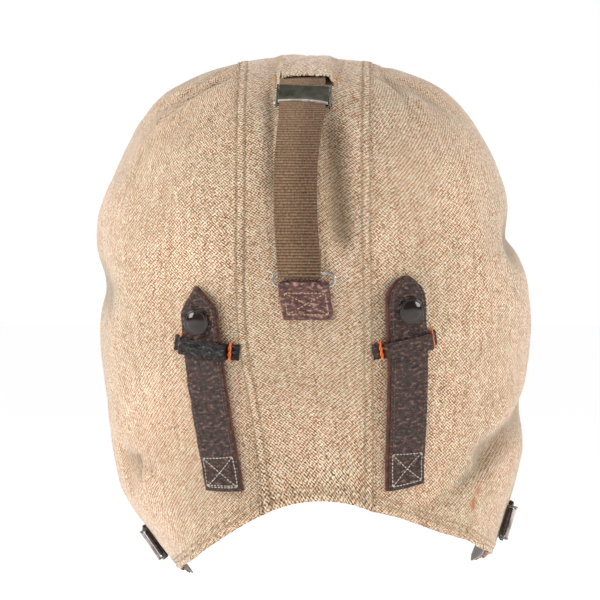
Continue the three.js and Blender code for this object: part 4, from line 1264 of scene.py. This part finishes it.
crown_loop()
fringe()
sew("loop_bar_tacks", bar_tacks(), "bar_thread", pitch=1.2, share=1.0, wide=0.42, tall=0.4)

# The goggle straps: two layers of leather from a stitched foot to a tip that a snap holds. The foot is cut
# with a slant, the layers are shifted from each other, and the snap sits at a share of the length, a little
# to one side.
GOGGLE_STRAPS = {
    "left": dict(
        foot=(-34.3, -197.3), tip=(-45.2, -104.7), shape="pointed",
        slant=-0.1, shift=0.25, snap=0.832, snap_side=-0.5,
    ),
    "right": dict(
        foot=(47.0, -195.9), tip=(47.6, -100.0), shape="rounded",
        slant=0.18, shift=-0.8, snap=0.842, snap_side=1.4,
    ),
}

# How each strap lies, by share of its length: its height, and how far it bows aside
STRAP_LIE = [
    dict(share=0.0, height=0.4, left=0.0, right=0.0),
    dict(share=0.09, height=0.5, left=-0.2, right=0.0),
    dict(share=0.19, height=1.0, left=-0.6, right=0.0),
    dict(share=0.32, height=1.7, left=-1.0, right=0.1),
    dict(share=0.46, height=2.1, left=-1.3, right=0.1),
    dict(share=0.6, height=2.4, left=-1.4, right=0.0),
    dict(share=0.7, height=2.6, left=-1.3, right=-0.5),
    dict(share=0.79, height=2.8, left=-1.1, right=-1.2),
    dict(share=0.88, height=2.8, left=-0.9, right=-1.5),
    dict(share=1.0, height=2.5, left=-0.6, right=-1.6),
]
STRAP_HALF = 9.0
LAYER = 1.1
UPPER_INSET = 0.55


def strap_half(name, to_tip, inset=0.0):
    """Half the strap's width at a distance from its tip"""
    half = STRAP_HALF - inset
    t = np.maximum(to_tip - inset, 0)
    if GOGGLE_STRAPS[name]["shape"] == "pointed":
        edge = 0.7 + 0.80 * t
        return np.minimum(half, edge) - 0.5 * np.exp(-(((half - edge) / 1.0) ** 2))
    return half * np.maximum(1 - np.clip(1 - (t + 0.1) / 10.0, 0, 1) ** 1.7, 0) ** 0.62


def strap_point(name, side, run, height):
    """A point over a strap, by distance across from its middle and along from its foot"""
    strap = GOGGLE_STRAPS[name]
    foot, tip = np.array(strap["foot"]), np.array(strap["tip"])
    length = np.linalg.norm(tip - foot)
    run = run + side * strap["slant"] * (1 - step(0, 18, run))
    share = run / length
    flat = foot + (tip - foot) * share[:, None]
    flat[:, 0] += smooth(STRAP_LIE, "share", name, np.clip(share, 0, 1))
    centre = on_back(flat[:, 0], flat[:, 1])
    ahead = unit(on_back(*(flat + (tip - foot) * 0.01).T) - centre)
    sideways = unit(np.cross(ahead, outwards(centre))) * side[:, None]
    lift = smooth(STRAP_LIE, "share", "height", np.clip(share, 0, 1))
    return above(on_form(centre + sideways), lift + height)


def strap_length(name):
    strap = GOGGLE_STRAPS[name]
    return math.dist(strap["foot"], strap["tip"])


# Where the upper leather is creased across, by distance from the foot, and how deep
STRAP_CREASES = {"left": (24, 33, 47, 58, 66), "right": (29, 41, 44.5, 48, 62)}
CREASE_DEPTHS = (0.32, 0.2, 0.14, 0.22, 0.3)


def strap_creases(name, side, run):
    """Creases and dents of the upper leather"""
    seed = len(name)
    wobble = 0.6 * np.sin(side / 3.1 + seed) + 0.3 * np.sin(side / 1.3)
    dents = 0.0
    for k, (place, depth) in enumerate(zip(STRAP_CREASES[name], CREASE_DEPTHS)):
        reach_over = np.exp(-(((side - 3 * math.sin(k + seed)) / 6.5) ** 2))
        dents = dents - depth * reach_over * np.exp(-(((run - place - wobble) / 0.5) ** 2))
    waves = 0.14 * wander(run + 0.4 * side, 9, 60 + seed)
    waves = waves + 0.06 * wander(side * 1.5 + run * 0.3, 4, 61 + seed)
    return dents + waves


def strap_place(name, layer):
    strap = GOGGLE_STRAPS[name]
    length = strap_length(name)

    def place(across, along):
        run = crowd(along, length, start=(0.05, 2.0), end=(0.3, 11.0)) * length
        inset = 0.0 if layer == "under" else UPPER_INSET
        shift = strap["shift"] * (0.5 if layer == "under" else -0.5)
        half = strap_half(name, length - run, inset)
        a = 2 * across - 1
        side = a * half + shift * step(0, 6, length - run)
        height = LAYER if layer == "under" else 2 * LAYER
        if layer == "upper":
            edge = (1 - np.abs(a)) * half
            height = height + strap_creases(name, side, run) - 0.22 * np.exp(-((edge / 0.7) ** 2))
            height = height - 0.16 * np.exp(-(((edge - 1.5) / 0.4) ** 2))
        return strap_point(name, side, run, height), np.stack([side + 20, run + 5], axis=-1)

    return place


def strap_edge_runs(name):
    length = strap_length(name)
    strap = GOGGLE_STRAPS[name]
    shift = -strap["shift"] * 0.5
    runs = []
    for a in (-1, 1):
        run = np.linspace(16.5, length - 1.6, 160)
        half = np.maximum(strap_half(name, length - run, UPPER_INSET) - 1.5, 0.25)
        side = a * half + shift
        points = strap_point(name, side, run, 2 * LAYER - 0.05 + strap_creases(name, side, run))
        runs.append((points, outwards(on_form(points))))
    return runs


def strap_box_runs(name):
    shift = -GOGGLE_STRAPS[name]["shift"] * 0.5
    half = STRAP_HALF - 2.0
    corners = [np.array(c) for c in ((-half, 15.5), (half, 15.5), (half, 1.9), (-half, 1.9))]
    runs = []
    for a, b in box_cross(corners, doubled=name == "left"):
        flat = lerp(a, b, np.linspace(0, 1, 24)[:, None])
        side, run = flat[:, 0] + shift, flat[:, 1]
        points = strap_point(name, side, run, 2 * LAYER + 0.03 + strap_creases(name, side, run))
        runs.append((points, outwards(on_form(points))))
    return runs


SNAP_PROFILE = [
    (0, 0.3), (4.6, 0.3), (4.6, 2.2), (1.7, 2.2), (1.7, 5.2), (5.1, 5.25), (5.6, 5.45), (5.93, 5.85),
    (5.95, 6.25), (5.75, 6.6), (5.4, 6.8), (5.1, 6.84), (4.85, 6.78), (4.5, 7.0), (3.6, 7.5), (2.5, 7.86),
    (1.3, 8.06), (0, 8.1),
]


def frame_at(point, ahead, height):
    """Stands something on the canvas: +Z goes out, +Y goes as `ahead` does"""
    out = outwards(point[None])[0]
    across = unit(np.cross(ahead, out))
    matrix = Matrix(np.column_stack([across, np.cross(out, across), out]).tolist()).to_4x4()
    matrix.translation = Vector(above(point[None], height)[0]) * MM
    return matrix


def snap(name):
    strap = GOGGLE_STRAPS[name]
    x, z = lerp(np.array(strap["foot"]), np.array(strap["tip"]), strap["snap"])
    x += float(smooth(STRAP_LIE, "share", name, strap["snap"])) + strap["snap_side"]
    bm = bmesh.new()
    verts = [bm.verts.new((radius * MM, 0, height * MM)) for radius, height in SNAP_PROFILE]
    edges = [bm.edges.new(pair) for pair in zip(verts, verts[1:])]
    turned = dict(cent=(0, 0, 0), axis=(0, 0, 1), angle=2 * math.pi, steps=48, use_merge=True)
    bmesh.ops.spin(bm, geom=verts + edges, **turned)
    bmesh.ops.remove_doubles(bm, verts=bm.verts, dist=0.001 * MM)
    bmesh.ops.recalc_face_normals(bm, faces=bm.faces)
    bmesh.ops.transform(bm, matrix=frame_at(on_back(x, z), np.array([0, 0, 1.0]), 0.0), verts=bm.verts)
    piece = mesh_piece(f"{name}_snap_button", bm)
    return dress(piece, "snap", stands_for=[f"{name}_snap"])


for name in GOGGLE_STRAPS:
    under = place_grid(f"{name}_strap_under_leather", 18, 110, strap_place(name, "under"))
    thicken(under, LAYER - 0.05, 0.2, rim="under_leather")
    dress(under, "under_leather under_leather")
    upper = place_grid(f"{name}_strap_upper_leather", 30, 200, strap_place(name, "upper"))
    thicken(upper, LAYER - 0.1, 0.3, 3, rim="under_leather")
    dress(upper, "dark_leather under_leather", stands_for=[f"{name}_goggle_strap"])
    snap(name)
    edge, box = strap_edge_runs(name), strap_box_runs(name)
    sew(f"{name}_strap_edge_stitches", edge, "brown_thread", 1.75, 0.7, 0.36, 0.24)
    sew(f"{name}_strap_box_stitches", box, "grey_thread", 1.6, 0.78, 0.46, 0.36)

# The keepers over the goggle straps
KEEPERS = {
    "left": dict(ends=((-56.8, -129.7), (-27.2, -134.6)), offset=-0.6, finish="black_leather"),
    "right": dict(ends=((31.9, -134.4), (60.4, -127.5)), offset=0.8, finish="dark_leather"),
}
KEEPER = dict(width=7.4, half_bridge=10.3, lift=5.3, wall=1.1)


def keeper_frame(name):
    start, end = (on_back(*at) for at in KEEPERS[name]["ends"])
    middle = on_form((start + end) / 2)
    ahead = unit(end - start)
    return middle, ahead, unit(np.cross(ahead, outwards(middle[None])[0])), math.dist(start, end) / 2


def keeper_line(name):
    """The keeper's outer face from end to end, by distance from its middle and height over the canvas"""
    offset, bridge, lift = KEEPERS[name]["offset"], KEEPER["half_bridge"], KEEPER["lift"]
    half = keeper_frame(name)[3]
    plate = GAP + KEEPER["wall"]
    points = [(-half, plate), (offset - bridge - 2.6, plate)]
    for side in (-1, 1):
        shoulder = [
            (offset + side * (bridge + 1.3), plate + 0.2),
            (offset + side * (bridge + 0.9), plate + 1.3),
            (offset + side * (bridge + 0.7), lift - 0.3),
            (offset + side * (bridge + 0.1), lift + 0.8),
            (offset + side * (bridge - 1.4), lift + 1.1),
        ]
        points += shoulder if side < 0 else [(offset, lift + 1.2), *shoulder[::-1]]
    return np.array([*points, (offset + bridge + 2.6, plate), (half, plate)])


def ridge(side, at, tall):
    """A narrow ridge along a keeper"""
    return tall * np.exp(-(((side - at) / 0.5) ** 2))


def keeper_place(name):
    line = keeper_line(name)
    middle, ahead, across_way, _ = keeper_frame(name)

    def place(across, along):
        at = catmull(line, along)
        side = (across - 0.5) * KEEPER["width"]
        points = on_form(middle + ahead * at[:, :1] + across_way * side[:, None])
        edge = KEEPER["width"] / 2 - np.abs(side)
        height = at[:, 1] + 0.12 * wander(at[:, 0] + 2 * side, 6, 71) - 0.15 * np.exp(-((edge / 0.6) ** 2))
        if name == "left":
            height = height + ridge(side, -2.9, 0.3) - ridge(side, -1.5, 0.35)
        else:
            height = height + ridge(side, -3.0, 0.25)
        return above(points, height), np.stack([at[:, 0] + 40, side + 10], axis=-1)

    return place


def thread_points(name, side):
    """A two-ply thread sewn over a keeper's end plate, from its upper edge to its lower one"""
    middle, ahead, across_way, _ = keeper_frame(name)
    at = KEEPERS[name]["offset"] + side * (KEEPER["half_bridge"] + 2.0)
    turn = np.linspace(0, 1, 60)
    strands = []
    for phase in (0, math.pi):
        angle = turn * 2 * math.pi * 1.5 + phase
        place = (turn - 0.5) * (KEEPER["width"] + 0.9)
        twisted = (at + 0.42 * np.cos(angle))[:, None]
        points = on_form(middle + ahead * twisted + across_way * place[:, None])
        height = GAP + KEEPER["wall"] + 0.35 + 0.38 * np.sin(angle) - 1.3 * np.abs(2 * turn - 1) ** 8
        strands.append(above(points, height))
    return strands


def threads(name):
    strands = [strand for side in (-1, 1) for strand in thread_points(name, side)]
    piece = tubes(f"{name}_keeper_thread", strands, 0.42, sides=2)
    return dress(piece, "orange_thread")


for name in KEEPERS:
    band = place_grid(f"{name}_keeper_band", 20, 130, keeper_place(name))
    thicken(band, KEEPER["wall"] - 0.1, 0.22)
    dress(band, KEEPERS[name]["finish"], stands_for=[f"{name}_keeper"])
    threads(name)

# The cheek tabs, flat in their clamps and then sewn to the canvas
CHEEKS = {"left": (81, -223.6), "right": (83, -214.2)}
CHEEK_ROWS = [
    dict(along=-7.0, width=13.0, height=1.3, follow=0.0),
    dict(along=6.6, width=13.0, height=1.3, follow=0.0),
    dict(along=9.0, width=18.6, height=0.9, follow=0.5),
    dict(along=12.0, width=18.6, height=0.4, follow=1.0),
    dict(along=18.0, width=18.0, height=0.4, follow=1.0),
    dict(along=24.0, width=16.0, height=0.4, follow=1.0),
]


def cheek_frame(name):
    azimuth, z = CHEEKS[name]
    point = at_azimuth((-1 if name == "left" else 1) * azimuth, z)
    out = outwards(point[None])[0]
    ahead = np.array([0, 1.0, 0])
    return point, unit(ahead - out * (ahead @ out))


def cheek_point(name, side, run, height):
    point, ahead = cheek_frame(name)
    centre = on_form(point + ahead * run[:, None])
    before, after = (on_form(point + ahead * (run + shift)[:, None]) for shift in (-0.5, 0.5))
    sideways = unit(np.cross(after - before, outwards(centre))) * side[:, None]
    lift = height + smooth(CHEEK_ROWS, "along", "height", run)
    follow = smooth(CHEEK_ROWS, "along", "follow", run)[:, None]
    in_clamp = above(centre, lift, False) + sideways
    on_cloth = above(on_form(centre + sideways), lift, False)
    return lerp(in_clamp, on_cloth, follow)


def cheek_place(name):
    def place(across, along):
        run = lerp(CHEEK_ROWS[0]["along"], CHEEK_ROWS[-1]["along"], along)
        width = smooth(CHEEK_ROWS, "along", "width", run)
        side = (across - 0.5) * width
        height = THIN_LEATHER + 0.08 * wander(run + side, 6, 81)
        return cheek_point(name, side, run, height), np.stack([side + 20, run + 20], axis=-1)

    return place


def cheek_runs(name):
    corners = [np.array(c) for c in ((-6.8, 12.5), (6.8, 12.5), (6.2, 22.3), (-6.2, 22.3))]
    runs = []
    for a, b in box_cross(corners):
        flat = lerp(a, b, np.linspace(0, 1, 20)[:, None])
        points = cheek_point(name, flat[:, 0], flat[:, 1], THIN_LEATHER + 0.1)
        runs.append((points, outwards(on_form(points))))
    return runs


for name in CHEEKS:
    leather = place_grid(f"{name}_cheek_leather", 20, 60, cheek_place(name))
    thicken(leather, THIN_LEATHER - 0.1, 0.25, rim="cheek_leather")
    dress(leather, "cheek_leather cheek_leather", stands_for=[f"{name}_cheek_tab"])
    sew(f"{name}_cheek_stitches", cheek_runs(name), "tan_thread", 1.7, 0.8, 0.5, 0.36)

# The steel clamps: the imported solids with rounded edges, painted bright as wear and a painted highlight
CLAMPS = {
    "crown_clamp": "root",
    "crown_clamp_lever": "crown_clamp_lever_body",
    "left_cheek_clamp": "root",
    "left_cheek_clamp_lever": "left_cheek_clamp_lever_body",
    "right_cheek_clamp": "root",
    "right_cheek_clamp_lever": "right_cheek_clamp_lever_body",
}

# The crown clamp: its middle, how far out its ears end, and the way that its lever's lip faces
CROWN_CLAMP_X = 1.2
PAST_EARS = 12.6
LIP_FACES = Vector((0, -0.79, -0.61))


def rubbed_or_highlit(node, face):
    """Whether a face of the crown clamp is painted bright, as wear and a painted highlight: the lever's lip,
    the knobs and the pins' ends
    """
    past = abs(face.calc_center_median().x / MM - CROWN_CLAMP_X) > PAST_EARS
    lip = node.endswith("lever") and face.normal.dot(LIP_FACES) > 0.75
    return node.startswith("crown") and (past or lip)


def worn_highlit_copy(node, body):
    bm = bmesh.new()
    bm.from_mesh(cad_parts[node].data)
    bmesh.ops.remove_doubles(bm, verts=bm.verts, dist=0.001 * MM)
    flat = dict(angle_limit=math.radians(1), use_dissolve_boundaries=False)
    bmesh.ops.dissolve_limit(bm, verts=bm.verts, edges=bm.edges, **flat)
    sharp = [edge for edge in bm.edges if edge.is_manifold and edge.calc_face_angle() > math.radians(38)]
    rounded = dict(offset=0.2 * MM, offset_type="OFFSET", segments=2, profile=0.5, clamp_overlap=True)
    made = bmesh.ops.bevel(bm, geom=sharp, affect="EDGES", material=-1, **rounded)
    for face in bm.faces:
        face.material_index = 1 if rubbed_or_highlit(node, face) else 0
    # Rounded edges are painted bright too, as wear and a painted highlight
    for face in made["faces"]:
        face.material_index = 1
    bmesh.ops.triangulate(bm, faces=[face for face in bm.faces if len(face.verts) > 4])
    piece = mesh_piece(f"{node}_steel", bm)
    piece.data.set_sharp_from_angle(angle=math.radians(32))
    # The cheek levers are painted pale pinkish grey, a painted reflection of the white studio on their faces
    face = "steel_painted_with_reflection" if node.endswith("cheek_clamp_lever") else "steel"
    return dress(piece, f"{face} worn_steel", body, stands_for=[node])


for node, body in CLAMPS.items():
    worn_highlit_copy(node, body)


# The camera, level and about two metres behind the helmet, with the photograph's 600 px frame
PHOTO_CENTRE = Vector((-0.5, 0, -111.0)) * MM
CAMERA_DISTANCE = 2.1
FRAME_WIDTH = 282 * MM


def set_camera():
    data = bpy.data.cameras.new("camera")
    data.sensor_width = 36
    data.lens = data.sensor_width / 2 / (FRAME_WIDTH / 2 / CAMERA_DISTANCE)
    data.clip_end = 60
    camera = bpy.data.objects.new("camera", data)
    camera.location = PHOTO_CENTRE + Vector((0, -CAMERA_DISTANCE, 0))
    camera.rotation_euler = (math.radians(90), 0, 0)
    bpy.context.scene.collection.objects.link(camera)
    bpy.context.scene.camera = camera


def softbox(name, azimuth, elevation, distance, size, power, warmth=1.0):
    """A square lamp that faces the helmet. Azimuth 0 is where the camera stands."""
    a, e = math.radians(azimuth), math.radians(elevation)
    away = Vector((math.sin(a) * math.cos(e), -math.cos(a) * math.cos(e), math.sin(e)))
    data = bpy.data.lights.new(name, "AREA")
    data.shape = "SQUARE"
    data.size = size
    data.energy = power
    data.color = (1.0, warmth, warmth * warmth)
    lamp = bpy.data.objects.new(name, data)
    lamp.location = PHOTO_CENTRE + away * distance
    lamp.rotation_euler = (-away).to_track_quat("-Z", "Y").to_euler()
    bpy.context.scene.collection.objects.link(lamp)


FLOOR_Z = -300 * MM
BACKGROUND = 1.0
AMBIENT = 0.24


def set_world():
    """A white studio, whose walls are dimmer as lamps than they look"""
    world = bpy.data.worlds.new("studio")
    world.use_nodes = True
    tree = world.node_tree
    light_path = tree.nodes.new("ShaderNodeLightPath")
    strength = tree.nodes.new("ShaderNodeMapRange")
    strength.inputs["To Min"].default_value = AMBIENT
    strength.inputs["To Max"].default_value = BACKGROUND
    tree.links.new(light_path.outputs["Is Camera Ray"], strength.inputs["Value"])
    background = tree.nodes["Background"]
    background.inputs["Color"].default_value = (1, 1, 1, 1)
    tree.links.new(strength.outputs["Result"], background.inputs["Strength"])
    bpy.context.scene.world = world
    bpy.context.scene.view_settings.view_transform = "Standard"


def set_stage():
    bm = bmesh.new()
    bmesh.ops.create_grid(bm, x_segments=1, y_segments=1, size=30)
    for vert in bm.verts:
        vert.co.z = FLOOR_Z
    floor = mesh_piece("floor", bm)
    s = Shader("pale_floor")
    white = dict(Emission_Color=(1, 1, 1, 1), Emission_Strength=0.78)
    floor.data.materials.append(s.finish((0.85, 0.85, 0.85), 0.9, **white))
    softbox("left_softbox", -74, 22, 1.6, 0.7, 18.5, 0.97)
    softbox("right_softbox", 74, 22, 1.6, 0.7, 16.5, 0.97)
    softbox("top_softbox", -10, 62, 1.6, 0.7, 6.0)
    softbox("key_lamp", -40, 42, 1.6, 0.28, 2.6)


set_camera()
set_world()
set_stage()
